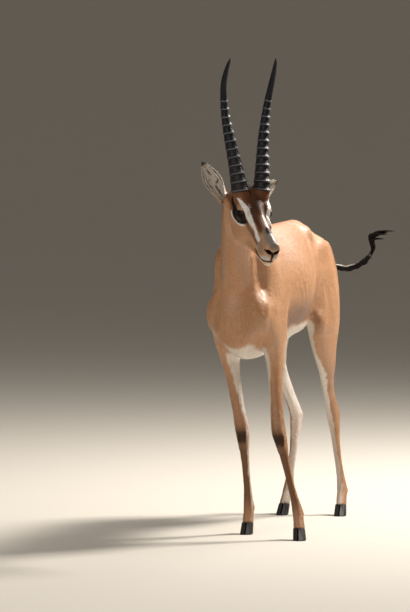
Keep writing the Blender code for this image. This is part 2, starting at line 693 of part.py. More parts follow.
def horn(side):
    """A horn with rings that are higher on its front."""
    left, axis, _ = head_axes()
    back = Vector((-axis.x, -axis.y, 0.0)).normalized()
    pitch = (RINGED[1] - RINGED[0]) / RINGS
    rises = [HORN[0][0]]
    heights = [0.0]
    for ring in range(RINGS):
        for place, height in RING_SHAPE:
            rises.append(RINGED[0] + (ring + place) * pitch)
            heights.append(height * (1 - RING_FADE * ring / RINGS))
    smooth_part = np.linspace(RINGED[1] + RING_HEIGHT, HORN[-1][0], SMOOTH_STEPS)
    rises += list(smooth_part)
    heights += [0.0] * len(smooth_part)
    rows = np.array(HORN)
    rows = curve_at(rows, rows[:, 0], np.array(rises))
    centres = horn_path(side, rows)
    paths = np.gradient(np.array(centres), axis=0)
    def build(bm):
        rings = []
        for centre, path, row, height in zip(centres, paths, rows, heights):
            forward = Vector(path).normalized()
            across = (left - forward * forward.dot(left)).normalized()
            front = across.cross(forward)
            if front.dot(back) > 0:
                front = -front
            ring = []
            for k in range(HORN_SIDES):
                angle = 2 * math.pi * k / HORN_SIDES
                swell = RING_HEIGHT * height * (1 - RING_FRONT + RING_FRONT * math.sin(angle))
                ring.append(centre + across * ((row[3] + swell) * math.cos(angle))
                            + front * ((row[4] + swell) * math.sin(angle)))
            rings.append(ring)
        skin_rings(bm, rings)
    return mesh_of("horn", build)


def ear(name):
    """A cupped ear: a wall bent round its own hollow, open towards the front."""
    root, reach, faces = EARS[name]
    start = head_point(root)
    forward = Vector(reach).normalized()
    front = (Vector(faces) - forward * forward.dot(Vector(faces))).normalized()
    across = forward.cross(front)
    def build(bm):
        rings = []
        for place, half_width, depth, opening, wall in spline(EAR, EAR_SECTIONS, 1):
            centre = start + Vector(reach) * place
            spread = math.radians(opening)
            angles = np.linspace(-spread, spread, EAR_STEPS)
            outer, inner = [], []
            for angle in angles:
                way = across * (math.sin(angle) * half_width) - front * (math.cos(angle) * depth)
                outer.append(centre + way)
                inner.append(centre + way * (1 - wall / way.length))
            rings.append(outer + inner[::-1])
        skin_rings(bm, rings)
    return mesh_of("ear", build)


def claw(limb, side):
    """One claw on the floor, cut off where the skin begins."""
    toe, heel = HOOF[limb[:4]]
    def build(bm):
        rings = []
        for z, width in CLAW_LEVELS:
            x, moved = standing(limb, z)
            first = toe + TOE_LEAN * z + moved
            last = heel + HEEL_LEAN * z + moved
            places = np.linspace(0.0, 1.0, CLAW_STEPS)
            y = first + (last - first) * places
            late, steep = CLAW_FULLNESS
            bulge = np.maximum(CLAW_EDGE, np.sin(math.pi * places**late) ** steep)
            outer = x + side * (CLEFT + CLAW_WIDTH * width * bulge)
            inner = x + side * (CLEFT + CLAW_HOLLOW * np.cos(math.pi * places) ** 2)
            ring = [Vector((across, along, z)) for across, along in zip(outer, y)]
            ring += [Vector((across, along, z)) for across, along in zip(inner[::-1], y[::-1])]
            rings.append(ring)
        skin_rings(bm, rings)
    return mesh_of("claw", build)


def coronet_slab(limb):
    """The cut between skin and claws."""
    return slab(limb_centre(limb, CORONET), CORONET_NORMAL, CORONET_REACH, CORONET_REACH)


def lock(root, bend, tip, half_width, half_thickness):
    """A flat lock of hair that tapers to its tip."""
    rows = (
        (*root, half_width * 0.8, half_thickness),
        (*bend, half_width, half_thickness),
        (*tip, LOCK_TIP, LOCK_TIP),
    )
    return hose("lock", spline(rows, 8), (0.2, 0.3, 1.0), 6)


def tail_pieces(torso):
    """The tail and its tuft of locks, as one form cut across where the tuft begins."""
    tail_path, tuft_path = spline(TAIL, 12), spline(TUFT, 16)
    whole = hose("tail", np.concatenate([tail_path[:-1], tuft_path]), (0, 0, 1), 10)
    locks = [lock(*row) for row in TAIL_LOCKS + TUFT_LOCKS]
    start = Vector(TUFT[0][:3])
    cut = slab(start, Vector(TUFT[1][:3]) - start, TUFT_CUT_REACH, TUFT_CUT_REACH)
    parts = parts_of(carved(carved(whole, locks, "UNION"), [cut]))
    tail = part_near(parts, TAIL[0][:3])
    return carved(tail, [swollen(torso, GAP)]), part_near(parts, TUFT[-1][:3])


def coloured(name, mesh, colour, roughness):
    """A finished piece with a material of its own."""
    obj = object_of(name, mesh)
    obj.data.name = name
    material = bpy.data.materials.new(name)
    material.use_nodes = True
    shader = material.node_tree.nodes["Principled BSDF"]
    shader.inputs["Base Color"].default_value = (*colour, 1.0)
    shader.inputs["Roughness"].default_value = roughness
    obj.data.materials.clear()
    obj.data.materials.append(material)
    return obj


# Places by which the torso and the neck are told from the other pieces.
TORSO_TOP = (0.0, 0.0, 0.855)
NECK_TOP = (0.026, -0.458, 0.93)

TAN = (0.52, 0.33, 0.19)
DARK_TAN = (0.36, 0.21, 0.12)
BLACK = (0.02, 0.018, 0.016)
HORN_GREY = (0.045, 0.045, 0.05)
FLESH_ROUGHNESS = 0.8
HORN_ROUGHNESS = 0.5
EYE_ROUGHNESS = 0.1


def body_cuts():
    """The thin cuts that part head, neck, torso and limbs."""
    cuts = [nape_slab(), slab(*NECK_CUT, NECK_REACH, NECK_REACH)]
    for limb in STANCE:
        kind = limb[:4]
        cuts.append(slab(limb_centre(limb, ROOT_CUT[kind]), (0, 0, 1), *ROOT_REACH[kind]))
        cuts.append(slab(limb_centre(limb, SHANK_CUT[kind]), (0, 0, 1), *SHANK_REACH))
        cuts.append(coronet_slab(limb))
    return cuts


def main():
    for obj in list(bpy.data.objects):
        bpy.data.objects.remove(obj)
    fine_body = fused(body_forms(), BODY_GRAIN, body_softness)
    body = parts_of(carved(thinned(fine_body, BODY_GRAIN[2]), body_cuts()))
    coloured("torso", part_near(body, TORSO_TOP), TAN, FLESH_ROUGHNESS)
    coloured("neck", part_near(body, NECK_TOP), TAN, FLESH_ROUGHNESS)
    for limb in STANCE:
        kind, side = limb.split("_")
        middle = (ROOT_CUT[kind] + SHANK_CUT[kind]) / 2
        coloured(f"{kind}leg_{side}", part_near(body, limb_centre(limb, middle)), TAN, FLESH_ROUGHNESS)
        low = SHANK_CUT[kind] / 2
        coloured(f"{kind}shank_{side}", part_near(body, limb_centre(limb, low)), TAN, FLESH_ROUGHNESS)
        for way, name in ((1, "left"), (-1, "right")):
            pieces = parts_of(carved(claw(limb, way), [coronet_slab(limb)]))
            coloured(f"claw_{limb}_{name}", part_near(pieces, limb_centre(limb, 0.0)), BLACK, HORN_ROUGHNESS)

    fine_head = fused(head_forms(fine_body), HEAD_GRAIN, head_softness)
    flesh = carved(thinned(fine_head, HEAD_GRAIN[2]), [nape_slab()])
    whole_head = part_near(parts_of(flesh), head_point((0, 0.02, 0.0)))
    head = carved(whole_head, face_tools(whole_head))
    coloured("head", largest(head), TAN, FLESH_ROUGHNESS)
    swell = swollen(whole_head, GAP)
    horn_swell = swollen(whole_head, HORN_GAP)
    neck_swell = swollen(bpy.data.objects["neck"].data, GAP)
    for name, side in SIDES:
        coloured(f"horn_{name}", largest(carved(horn(side), [horn_swell])), HORN_GREY, HORN_ROUGHNESS)
        coloured(f"ear_{name}", largest(carved(ear(name), [swell, neck_swell])), TAN, FLESH_ROUGHNESS)
        ball = egg(mirrored(EYE, side), [EYE_RADIUS] * 3, (0, 0, 0), head_point, EYE_SEGMENTS)
        coloured(f"eye_{name}", ball, BLACK, EYE_ROUGHNESS)

    tail, tuft = tail_pieces(bpy.data.objects["torso"].data)
    coloured("tail", largest(tail), DARK_TAN, FLESH_ROUGHNESS)
    coloured("tail_tuft", tuft, BLACK, FLESH_ROUGHNESS)

    points = [v.co for obj in bpy.data.objects for v in obj.data.vertices]
    low = Vector([min(p[k] for p in points) for k in range(3)])
    high = Vector([max(p[k] for p in points) for k in range(3)])
    to_centre = Vector((-(low.x + high.x) / 2, -(low.y + high.y) / 2, -low.z))
    for obj in bpy.data.objects:
        for vert in obj.data.vertices:
            vert.co += to_centre


main()
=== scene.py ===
"""The looks of a Grant's gazelle ram: skin, coat, horns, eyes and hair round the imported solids.

Lengths are metres. Body places have x from the trunk's middle plane to the left, y from front to
back and z up from the floor. Head places have x to the head's left, s back from the nose and u up
across the head, all in the head's own scale.
"""

import math

import bmesh
import bpy
import numpy as np
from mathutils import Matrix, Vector
from mathutils.bvhtree import BVHTree


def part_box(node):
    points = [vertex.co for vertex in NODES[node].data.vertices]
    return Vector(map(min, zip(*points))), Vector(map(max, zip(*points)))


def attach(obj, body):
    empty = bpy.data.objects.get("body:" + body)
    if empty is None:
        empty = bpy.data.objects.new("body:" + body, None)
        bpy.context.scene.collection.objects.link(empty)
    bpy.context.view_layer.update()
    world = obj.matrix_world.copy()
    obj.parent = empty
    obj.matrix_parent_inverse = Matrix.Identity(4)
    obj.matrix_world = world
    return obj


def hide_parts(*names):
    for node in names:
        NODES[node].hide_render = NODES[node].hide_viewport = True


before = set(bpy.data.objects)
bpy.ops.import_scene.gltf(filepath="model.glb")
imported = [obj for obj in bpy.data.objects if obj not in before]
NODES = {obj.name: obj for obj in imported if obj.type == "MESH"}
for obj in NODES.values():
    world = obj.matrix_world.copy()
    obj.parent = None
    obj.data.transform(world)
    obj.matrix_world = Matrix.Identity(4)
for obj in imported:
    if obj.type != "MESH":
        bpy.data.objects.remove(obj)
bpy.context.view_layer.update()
RANDOM_SEED = 20
SIDES = (("left", 1), ("right", -1))

# Nodes that the skin stands for, by the region that they belong to.
REGIONS = {
    "torso": ("torso",),
    "neck": ("neck",),
    "head": ("head",),
    "ear": ("ear_left", "ear_right"),
    "tail": ("tail",),
    "leg": ("foreleg_left", "foreleg_right", "hindleg_left", "hindleg_right"),
    "shank": ("foreshank_left", "foreshank_right", "hindshank_left", "hindshank_right"),
}
FLESH = tuple(node for nodes in REGIONS.values() for node in nodes)
ORDER = list(REGIONS)

# Places by which the body and the head are found in the frame.
BREAST_Y = -0.418
EYE = np.array((0.0318, 0.153, 0.0352))
EYE_RADIUS = 0.0196
HEAD_PITCH = math.radians(28)
HEAD_SCALE = 1.03


def box_middle(node):
    """The middle of a node's box."""
    low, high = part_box(node)
    return (low + high) / 2


def body_origin():
    """Where body places start."""
    low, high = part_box("torso")
    return np.array(((low.x + high.x) / 2, low.y - BREAST_Y, 0.0))


def head_frame():
    """The middle between the eyes, then the head's left, its way back and its own up."""
    left_eye, right_eye = box_middle("eye_left"), box_middle("eye_right")
    left = (left_eye - right_eye).normalized()
    forward = left.cross(Vector((0, 0, 1)))
    axis = forward * math.cos(HEAD_PITCH) - Vector((0, 0, math.sin(HEAD_PITCH)))
    up = forward * math.sin(HEAD_PITCH) + Vector((0, 0, math.cos(HEAD_PITCH)))
    return np.array((left_eye + right_eye) / 2), np.array((left, -axis, up))


BODY_ORIGIN = body_origin()
HEAD_MIDDLE, HEAD_AXES = head_frame()
EYES_MIDDLE = EYE * (0, 1, 1)


def to_body(points):
    """World points as body places."""
    return points - BODY_ORIGIN


def to_head(points):
    """World points as head places."""
    return (points - HEAD_MIDDLE) @ HEAD_AXES.T / HEAD_SCALE + EYES_MIDDLE


def from_head(places):
    """Head places as world points."""
    return (np.asarray(places) - EYES_MIDDLE) * HEAD_SCALE @ HEAD_AXES + HEAD_MIDDLE


def smooth_step(value, low, high):
    """0 up to low, 1 from high on, and a smooth rise between them."""
    t = np.clip((value - low) / (high - low), 0.0, 1.0)
    return t * t * (3 - 2 * t)


def length_of(vectors):
    """Lengths along the last axis."""
    return np.sqrt((vectors**2).sum(axis=-1))


def unit(vectors):
    """Vectors along the last axis at length 1."""
    return vectors / np.maximum(length_of(vectors), 1e-9)[..., None]


def bell(value, half_width):
    """1 at 0 and little beyond the half width."""
    return np.exp(-((value / half_width) ** 2))


def plateau(value, low, full, fade, end):
    """A smooth rise from low to full and a fall from fade to end."""
    return smooth_step(value, low, full) * (1 - smooth_step(value, fade, end))


def table_at(rows, at, column=1):
    """A table's column, read between its rows at places of its first column."""
    rows = np.array(rows)
    return np.interp(at, rows[:, 0], rows[:, column])


def folded(places):
    """Places with the right side brought over to the left."""
    return np.abs(places * (1, 0, 0)) + places * (0, 1, 1)


def path_distances(places, path):
    """Places' distances from each stretch of a path, and the path's half width beside them."""
    path = np.array(path)
    for (*start, r0), (*end, r1) in zip(path[:-1], path[1:]):
        start, step = np.array(start), np.array(end) - start
        t = np.clip((places - start) @ step / (step @ step), 0, 1)
        yield length_of(places - start - t[:, None] * step), r0 + (r1 - r0) * t


def in_regions(regions, *names):
    """Which of the regions are among those named."""
    return np.isin(regions, [ORDER.index(name) for name in names])


def curve_at(rows, at, wanted):
    """A smooth curve through rows that stand at the places `at`, read at the wanted places."""
    slopes = np.gradient(rows, at, axis=0)
    i = np.clip(np.searchsorted(at, wanted, side="right") - 1, 0, len(at) - 2)
    span = (at[i + 1] - at[i])[:, None]
    t = (wanted - at[i])[:, None] / span
    return (
        (2 * t**3 - 3 * t**2 + 1) * rows[i]
        + (t**3 - 2 * t**2 + t) * span * slopes[i]
        + (3 * t**2 - 2 * t**3) * rows[i + 1]
        + (t**3 - t**2) * span * slopes[i + 1]
    )


def spline(rows, count):
    """Rows of a point and its sizes, read at even steps along a smooth curve through them."""
    rows = np.array(rows, float)
    steps = length_of(np.diff(rows[:, :3], axis=0))
    at = np.concatenate([[0.0], np.cumsum(steps)])
    return curve_at(rows, at, np.linspace(0.0, at[-1], count))


# Skin: remeshed flesh of three grains, spliced into one surface
VOXEL_BODY = 0.0060
VOXEL_LEGS = 0.0031
VOXEL_HEAD = 0.0019
SKIN_TRIANGLES = 194000
OVERLAP = 0.0004  # by which neighbouring nodes are swollen, so that they melt into one
SPLICE_HALF_BAND = 0.0016
FINE_MUZZLE, FINE_EYE = 0.060, 0.028  # how far from the nose and from the eyes the grain is halved
HEAD_REACH = (0.06, 0.07)  # aside and up from the head's line, within which points count as the muzzle's
RELAX_PULLS = (0.5, -0.52)  # towards the neighbours' middle and back, by turns
BORDER_PASSES, FLOW_PASSES = 8, 10  # of softening across regions' borders and of the way the hair lies
NECK_SPLICE = ((0.014, -0.430, 0.873), (0.15, -0.60, 0.78))
LEG_SPLICE = ((0.0, 0.0, 0.460), (0.0, 0.0, -1.0))
RELAX_PASSES = 14
RELAX_AMOUNT = {"torso": 1.0, "neck": 1.0, "head": 0.45, "ear": 0.25, "tail": 0.5, "leg": 0.9,
                "shank": 0.7}
COAT_DEPTH = {"torso": 0.0014, "neck": 0.0013, "head": 0.0004, "ear": 0.0002, "tail": 0.0010,
              "leg": 0.0008, "shank": 0.0006}


def mesh_of(bm, name):
    """A loose surface as a mesh."""
    mesh = bpy.data.meshes.new(name)
    bm.to_mesh(mesh)
    bm.free()
    return mesh


def poured(bm, whole):
    """Move one loose surface into another."""
    mesh = mesh_of(bm, "poured")
    whole.from_mesh(mesh)
    bpy.data.meshes.remove(mesh)


def linked(name, mesh):
    """A new object in the scene."""
    obj = bpy.data.objects.new(name, mesh)
    bpy.context.scene.collection.objects.link(obj)
    return obj


def remeshed(nodes, voxel):
    """Nodes melted into one surface of even grain."""
    whole = bmesh.new()
    for node in nodes:
        bm = bmesh.new()
        bm.from_mesh(NODES[node].data)
        bmesh.ops.remove_doubles(bm, verts=bm.verts, dist=1e-6)
        bm.normal_update()
        for vert in bm.verts:
            vert.co += vert.normal * OVERLAP
        poured(bm, whole)
    obj = linked("flesh", mesh_of(whole, "flesh"))
    remesh = obj.modifiers.new("Melt", "REMESH")
    remesh.mode = "VOXEL"
    remesh.voxel_size = voxel
    graph = bpy.context.evaluated_depsgraph_get()
    made = bmesh.new()
    made.from_mesh(obj.evaluated_get(graph).to_mesh())
    bpy.data.objects.remove(obj)
    return made


def rims_of(bm):
    """The loops of boundary edges."""
    todo = {edge for edge in bm.edges if edge.is_boundary}
    rims = []
    while todo:
        stack = [todo.pop()]
        rim = []
        while stack:
            edge = stack.pop()
            rim.append(edge)
            near = [other for vert in edge.verts for other in vert.link_edges if other in todo]
            for other in set(near):
                todo.remove(other)
                stack.append(other)
        rims.append(rim)
    return rims


def rim_middle(rim):
    """The middle of a loop of edges."""
    return sum((edge.verts[0].co for edge in rim), Vector()) / len(rim)


def spliced(coarse, fine, place, normal):
    """The coarse surface up to a plane and the fine one beyond it, bridged by a narrow band."""
    normal = Vector(normal).normalized()
    point = Vector(place) + Vector(BODY_ORIGIN)
    for bm, shift, is_coarse in ((coarse, -SPLICE_HALF_BAND, True), (fine, SPLICE_HALF_BAND, False)):
        everything = bm.verts[:] + bm.edges[:] + bm.faces[:]
        bmesh.ops.bisect_plane(bm, geom=everything, plane_co=point + normal * shift, plane_no=normal,
                               clear_outer=is_coarse, clear_inner=not is_coarse)
    poured(fine, coarse)
    rims = rims_of(coarse)
    beyond = [rim for rim in rims if (rim_middle(rim) - point).dot(normal) > 0]
    for rim in rims:
        if (rim_middle(rim) - point).dot(normal) < 0:
            other = min(beyond, key=lambda far: (rim_middle(far) - rim_middle(rim)).length)
            bmesh.ops.bridge_loops(coarse, edges=rim + other)
    return coarse


def skin_surface():
    """The whole skin, of triangles that are finer round the eyes and the muzzle."""
    body = remeshed(FLESH, VOXEL_BODY)
    head_nodes = REGIONS["head"] + REGIONS["neck"] + REGIONS["ear"] + ("eye_left", "eye_right")
    head = remeshed(head_nodes, VOXEL_HEAD)
    legs = remeshed(REGIONS["leg"] + REGIONS["shank"], VOXEL_LEGS)
    body = spliced(body, head, *NECK_SPLICE)
    body = spliced(body, legs, *LEG_SPLICE)
    places = to_head(np.array([vert.co for vert in body.verts]))
    x, _, u = np.abs(places).T
    fine = (places[:, 1] < FINE_MUZZLE) & (x < HEAD_REACH[0]) & (u < HEAD_REACH[1])
    for _, side in SIDES:
        fine |= length_of(places - EYE * (side, 1, 1)) < FINE_EYE
    fine_edges = [edge for edge in body.edges if all(fine[vert.index] for vert in edge.verts)]
    bmesh.ops.subdivide_edges(body, edges=fine_edges, cuts=1, use_grid_fill=True)
    bmesh.ops.triangulate(body, faces=body.faces)
    bmesh.ops.recalc_face_normals(body, faces=body.faces)
    return body


def relaxed(points, edges, passes, amount):
    """Rows smoothed along edges without shrinking, by an amount for each."""
    first, second = edges[:, 0], edges[:, 1]
    neighbours = np.bincount(edges.ravel(), minlength=len(points))[:, None]
    for step in range(2 * passes):
        total = np.empty_like(points)
        for k in range(points.shape[1]):
            total[:, k] = np.bincount(first, points[second, k], len(points))
            total[:, k] += np.bincount(second, points[first, k], len(points))
        pull = RELAX_PULLS[step % 2]
        points = points + (total / neighbours - points) * (amount * pull)[:, None]
    return points


def numbers(collection, name, width, kind=np.float32):
    """A mesh's values as an array."""
    values = np.empty(len(collection) * width, kind)
    collection.foreach_get(name, values)
    return values.reshape(-1, width).astype(float if kind == np.float32 else int)


def region_finder():
    """A tree of the faces of every node of flesh, and the region of each face."""
    points, faces, owners = [], [], []
    for index, nodes in enumerate(REGIONS.values()):
        for node in nodes:
            mesh = NODES[node].data
            start = len(points)
            points += [v.co for v in mesh.vertices]
            faces += [[start + k for k in p.vertices] for p in mesh.polygons]
            owners += [index] * len(mesh.polygons)
    return BVHTree.FromPolygons(points, faces), np.array(owners)


class Skin:
    """The skin's points, the regions that they belong to and which way they face."""

    def __init__(self):
        self.mesh = mesh_of(skin_surface(), "skin")
        self.read()

    def read(self):
        """Take the mesh's points, edges and triangles, and find their regions."""
        self.points = numbers(self.mesh.vertices, "co", 3)
        self.edges = numbers(self.mesh.edges, "vertices", 2, np.int32)
        self.triangles = numbers(self.mesh.polygons, "vertices", 3, np.int32)
        tree, owners = region_finder()
        self.region = np.array([owners[tree.find_nearest(p)[2]] for p in self.points])

    def by_region(self, table):
        """A value for each point, softened across the borders of regions."""
        values = np.array([table[name] for name in REGIONS])[self.region]
        if values.ndim == 1:
            values = values[:, None]
        return relaxed(values, self.edges, BORDER_PASSES, np.ones(len(values))).squeeze()

    def thin(self, triangles):
        """Drop triangles where the skin is flattest."""
        self.normals()
        obj = linked("thin", self.mesh)
        decimate = obj.modifiers.new("Thin", "DECIMATE")
        decimate.ratio = triangles / len(self.triangles)
        graph = bpy.context.evaluated_depsgraph_get()
        self.mesh = bpy.data.meshes.new_from_object(obj.evaluated_get(graph))
        self.mesh.name = "skin"
        bpy.data.objects.remove(obj)
        self.read()

    def normals(self):
        """Which way the skin faces, with its points as they are now."""
        self.mesh.vertices.foreach_set("co", self.points.astype(np.float32).ravel())
        self.mesh.update()
        return numbers(self.mesh.vertex_normals, "vector", 3)


# Relief under the body's skin: mirrored paths with half widths, and how high each stands.
RELIEF = (
    (((0.050, -0.215, 0.84, 0.022), (0.078, -0.250, 0.76, 0.020), (0.088, -0.300, 0.67, 0.020)), 0.0030),
    (((0.060, -0.135, 0.80, 0.016), (0.090, -0.150, 0.72, 0.018), (0.098, -0.175, 0.62, 0.016)), -0.0040),
    (((0.085, -0.215, 0.68, 0.034), (0.090, -0.230, 0.62, 0.028)), 0.0050),
    (((0.080, -0.330, 0.72, 0.014), (0.082, -0.345, 0.64, 0.014), (0.075, -0.330, 0.58, 0.014)), -0.0028),
    (((0.080, -0.195, 0.575, 0.012), (0.075, -0.190, 0.545, 0.012)), 0.0030),
    (((0.040, 0.205, 0.885, 0.014), (0.056, 0.225, 0.86, 0.014)), 0.0022),
    (((0.062, 0.200, 0.83, 0.014), (0.084, 0.165, 0.77, 0.018), (0.096, 0.140, 0.72, 0.020),
      (0.090, 0.140, 0.66, 0.016), (0.082, 0.120, 0.61, 0.012)), 0.0034),
    (((0.090, 0.215, 0.78, 0.014), (0.102, 0.190, 0.72, 0.022), (0.096, 0.190, 0.66, 0.020),
      (0.088, 0.175, 0.61, 0.014)), -0.0060),
    (((0.053, -0.389, 0.812, 0.010), (0.052, -0.379, 0.777, 0.010), (0.053, -0.370, 0.748, 0.010),
      (0.057, -0.371, 0.719, 0.010), (0.062, -0.384, 0.691, 0.010), (0.064, -0.392, 0.655, 0.008)), 0.0024),
    (((0.066, -0.352, 0.800, 0.013), (0.067, -0.338, 0.755, 0.014), (0.071, -0.342, 0.730, 0.013)), -0.0062),
    (((0.073, -0.346, 0.716, 0.012), (0.081, -0.364, 0.691, 0.012), (0.084, -0.374, 0.660, 0.010)), -0.0030),
    (((0.104, 0.250, 0.74, 0.022), (0.100, 0.245, 0.67, 0.020), (0.090, 0.245, 0.60, 0.014)), 0.0026),
    (((0.100, 0.330, 0.80, 0.020), (0.105, 0.350, 0.72, 0.022), (0.095, 0.385, 0.62, 0.018)), 0.0035),
    (((0.095, 0.400, 0.78, 0.010), (0.098, 0.415, 0.70, 0.011), (0.085, 0.430, 0.61, 0.010)), -0.0030),
    (((0.090, 0.270, 0.70, 0.014), (0.095, 0.300, 0.62, 0.014), (0.085, 0.330, 0.55, 0.012)), -0.0022),
)
RIBS = (7, -0.120, 0.034, 0.0011)  # count, y of the first, pitch, height
RIB_LEAN = 0.45  # by which a rib lies further back lower down


def raised(places, path):
    """How much of a bell-shaped ridge each place gets."""
    return np.max([bell(distance, wide) for distance, wide in path_distances(places, path)], axis=0)


def sculpt_body(skin):
    """Work muscles, ribs and the hip's point into the skin."""
    on_body = in_regions(skin.region, "torso", "neck", "leg")
    places = to_body(skin.points)
    mirrored = folded(places)
    height = sum(high * raised(mirrored, path) for path, high in RELIEF)
    count, first, pitch, high = RIBS
    at = (places[:, 1] - first + RIB_LEAN * (places[:, 2] - 0.72)) / pitch
    ribbed = smooth_step(at, 0, 1) * (1 - smooth_step(at, count - 1.5, count))
    ribbed *= bell(places[:, 2] - 0.705, 0.065) * smooth_step(mirrored[:, 0], 0.07, 0.09)
    height += high * np.cos(2 * math.pi * at) * ribbed
    skin.points = skin.points + skin.normals() * (height * on_body)[:, None]


# Ears: root on the head, reach to the tip in the world and the way the cup faces.
EARS = {
    "right": ((-0.048, 0.246, 0.022), (-0.078, 0.040, 0.112), (0.20, -0.96, 0.30)),
    "left": ((0.047, 0.246, 0.022), (0.030, 0.124, 0.054), (0.95, -0.10, -0.10)),
}
# Along the ear: place, half width, depth of the cup and half opening in degrees.
EAR = (
    (0.00, 0.0165, 0.0150, 150),
    (0.14, 0.0175, 0.0160, 140),
    (0.30, 0.0220, 0.0170, 112),
    (0.48, 0.0265, 0.0160, 92),
    (0.66, 0.0248, 0.0130, 84),
    (0.82, 0.0175, 0.0090, 80),
    (0.94, 0.0085, 0.0046, 78),
    (1.00, 0.0026, 0.0018, 76),
)
# Dark lines of painted shade in the cup's creases: place along it, turn round it away from the head's
# middle, and half width.
EAR_CREASE_SHADE_LINES = (
    ((0.90, 0.00, 0.016), (0.76, 0.08, 0.030), (0.67, 0.30, 0.014)),
    ((0.74, 1.25, 0.012), (0.61, 1.05, 0.024), (0.53, 0.80, 0.024), (0.455, 0.15, 0.018)),
    ((0.44, 0.02, 0.020), (0.28, 0.15, 0.034), (0.12, 0.22, 0.030)),
    ((0.72, -1.00, 0.010), (0.60, -0.85, 0.016), (0.42, -0.60, 0.018)),
    ((0.60, -0.36, 0.020), (0.56, -0.28, 0.016)),
)
EAR_TURN_SCALE = 0.20  # of an ear's length, that a turn of one radian stands for

# Face: lids, mouth, philtrum and the gland in front of each eye
LID_TURN = math.radians(32)  # by which an eye faces forward of square to the head
LID_TILT = math.radians(20)  # by which its front corner is lower
LID_HALF_LENGTH = 0.0190
LID_UPPER, LID_LOWER = 0.0130, 0.0120  # reach of the opening above and below the line of its corners
LID_BEHIND = -0.0030  # the skin inside the opening, against the eyeball
LID_THICK = 0.0015
LID_BLEND = (0.0030, 0.0105)
MOUTH = ((0.009, -0.0305), (0.020, -0.0335), (0.038, -0.0345), (0.056, -0.0320), (0.071, -0.0265))
MOUTH_DEPTH, MOUTH_HALF_WIDTH = 0.0016, 0.0013
PHILTRUM_DEPTH, PHILTRUM_HALF_WIDTH = 0.0012, 0.0010
GLAND = ((0.0310, 0.122, 0.021), 0.0075, 0.0016)  # place, reach, depth


def ear_axes(name):
    """An ear's reach, then the ways along it, out of its cup and across it."""
    reach, faces = (np.array(row) for row in EARS[name][1:])
    forward = unit(reach)
    front = unit(faces - forward * (forward @ faces))
    return reach, forward, front, np.cross(forward, front)


def eye_axes(side):
    """An eye's way out, its way along the lids to the front corner and its way up, in the head."""
    out = np.array((side * math.cos(LID_TURN), -math.sin(LID_TURN), 0.0))
    level = np.array((-side * math.sin(LID_TURN), -math.cos(LID_TURN), 0.0))
    up = np.array((0.0, 0.0, 1.0))
    along = level * math.cos(LID_TILT) - up * math.sin(LID_TILT)
    return out, along, up * math.cos(LID_TILT) + level * math.sin(LID_TILT)


def lid_edge(along):
    """How far the opening reaches up and down at places along it."""
    swell = np.clip(1 - (along / LID_HALF_LENGTH)**2, 0, 1)
    return LID_UPPER * swell**0.75, LID_LOWER * swell**0.85


def beyond_lids(along, up):
    """How far outside the opening a place on the eyeball is."""
    upper, lower = lid_edge(along)
    aside = np.maximum(np.abs(along) - LID_HALF_LENGTH, 0)
    over = np.maximum(up - upper, -lower - up)
    return np.where(aside > 0, np.hypot(aside, up), over)


def around_lids(places, side):
    """How far head places are beyond an eye's opening, and which of them are near it."""
    away = places - EYE * (side, 1, 1)
    out, along, up = eye_axes(side)
    facing = away @ out
    across = np.arctan2(away @ along, facing) * EYE_RADIUS
    over = np.arctan2(away @ up, facing) * EYE_RADIUS
    radius = length_of(away)
    return beyond_lids(across, over), (facing > 0.15 * radius) & (radius < 2 * EYE_RADIUS)


def with_lids(places, side):
    """Head places with the skin drawn round one eyeball as lids."""
    centre = EYE * (side, 1, 1)
    radius = length_of(places - centre)
    way = unit(places - centre)
    beyond, near = around_lids(places, side)
    lid = EYE_RADIUS + LID_BEHIND + (LID_THICK - LID_BEHIND) * smooth_step(beyond, -0.0014, 0.0004)
    share = 1 - smooth_step(beyond, *LID_BLEND)
    wanted = lid + (radius - lid) * (1 - share)
    moved = centre + way * np.where(beyond > 0, np.maximum(wanted, lid), wanted)[:, None]
    return np.where(near[:, None], moved, places)


def sculpt_face(skin):
    """Work lids and creases into the skin of the head."""
    on_head = in_regions(skin.region, "head")
    places = to_head(skin.points)
    normals = skin.normals() @ HEAD_AXES.T
    x, s, u = np.abs(places[:, 0]), places[:, 1], places[:, 2]
    lips = bell(u - table_at(MOUTH, s), MOUTH_HALF_WIDTH) * (1 - smooth_step(s, 0.064, 0.074))
    depth = MOUTH_DEPTH * lips
    below_nose = smooth_step(-u, 0.006, 0.010) * (1 - smooth_step(-u, 0.028, 0.032)) * (s < 0.02)
    depth += PHILTRUM_DEPTH * bell(x, PHILTRUM_HALF_WIDTH) * below_nose
    place, reach, deep = GLAND
    depth += deep * bell(length_of(np.stack([x, s, u], axis=1) - place), reach)
    places = places - normals * depth[:, None]
    for _, side in SIDES:
        places = with_lids(places, side)
    skin.points = np.where(on_head[:, None], from_head(places), skin.points)


# Pieces of many strands
MAP_PATCH = 0.0015  # half width of a strand's patch of the map


def mesh_from(name, points, triangles, colours, uvs=None):
    """A mesh object from arrays, with the coat's colours and the map of where each strand is rooted."""
    a, b, c = (points[triangles[:, k]] for k in range(3))
    if (np.cross(a, b) * c).sum() < 0:
        triangles = triangles[:, ::-1]
    mesh = bpy.data.meshes.new(name)
    mesh.vertices.add(len(points))
    mesh.vertices.foreach_set("co", points.astype(np.float32).ravel())
    mesh.loops.add(triangles.size)
    mesh.loops.foreach_set("vertex_index", triangles.astype(np.int32).ravel())
    mesh.polygons.add(len(triangles))
    mesh.polygons.foreach_set("loop_start", np.arange(0, triangles.size, 3, dtype=np.int32))
    mesh.update(calc_edges=True)
    mesh.shade_smooth()
    add_colours(mesh, colours)
    if uvs is not None:
        layer = mesh.uv_layers.new(name="OFBake")
        layer.uv.foreach_set("vector", uvs[triangles.ravel()].astype(np.float32).ravel())
    return linked(name, mesh)


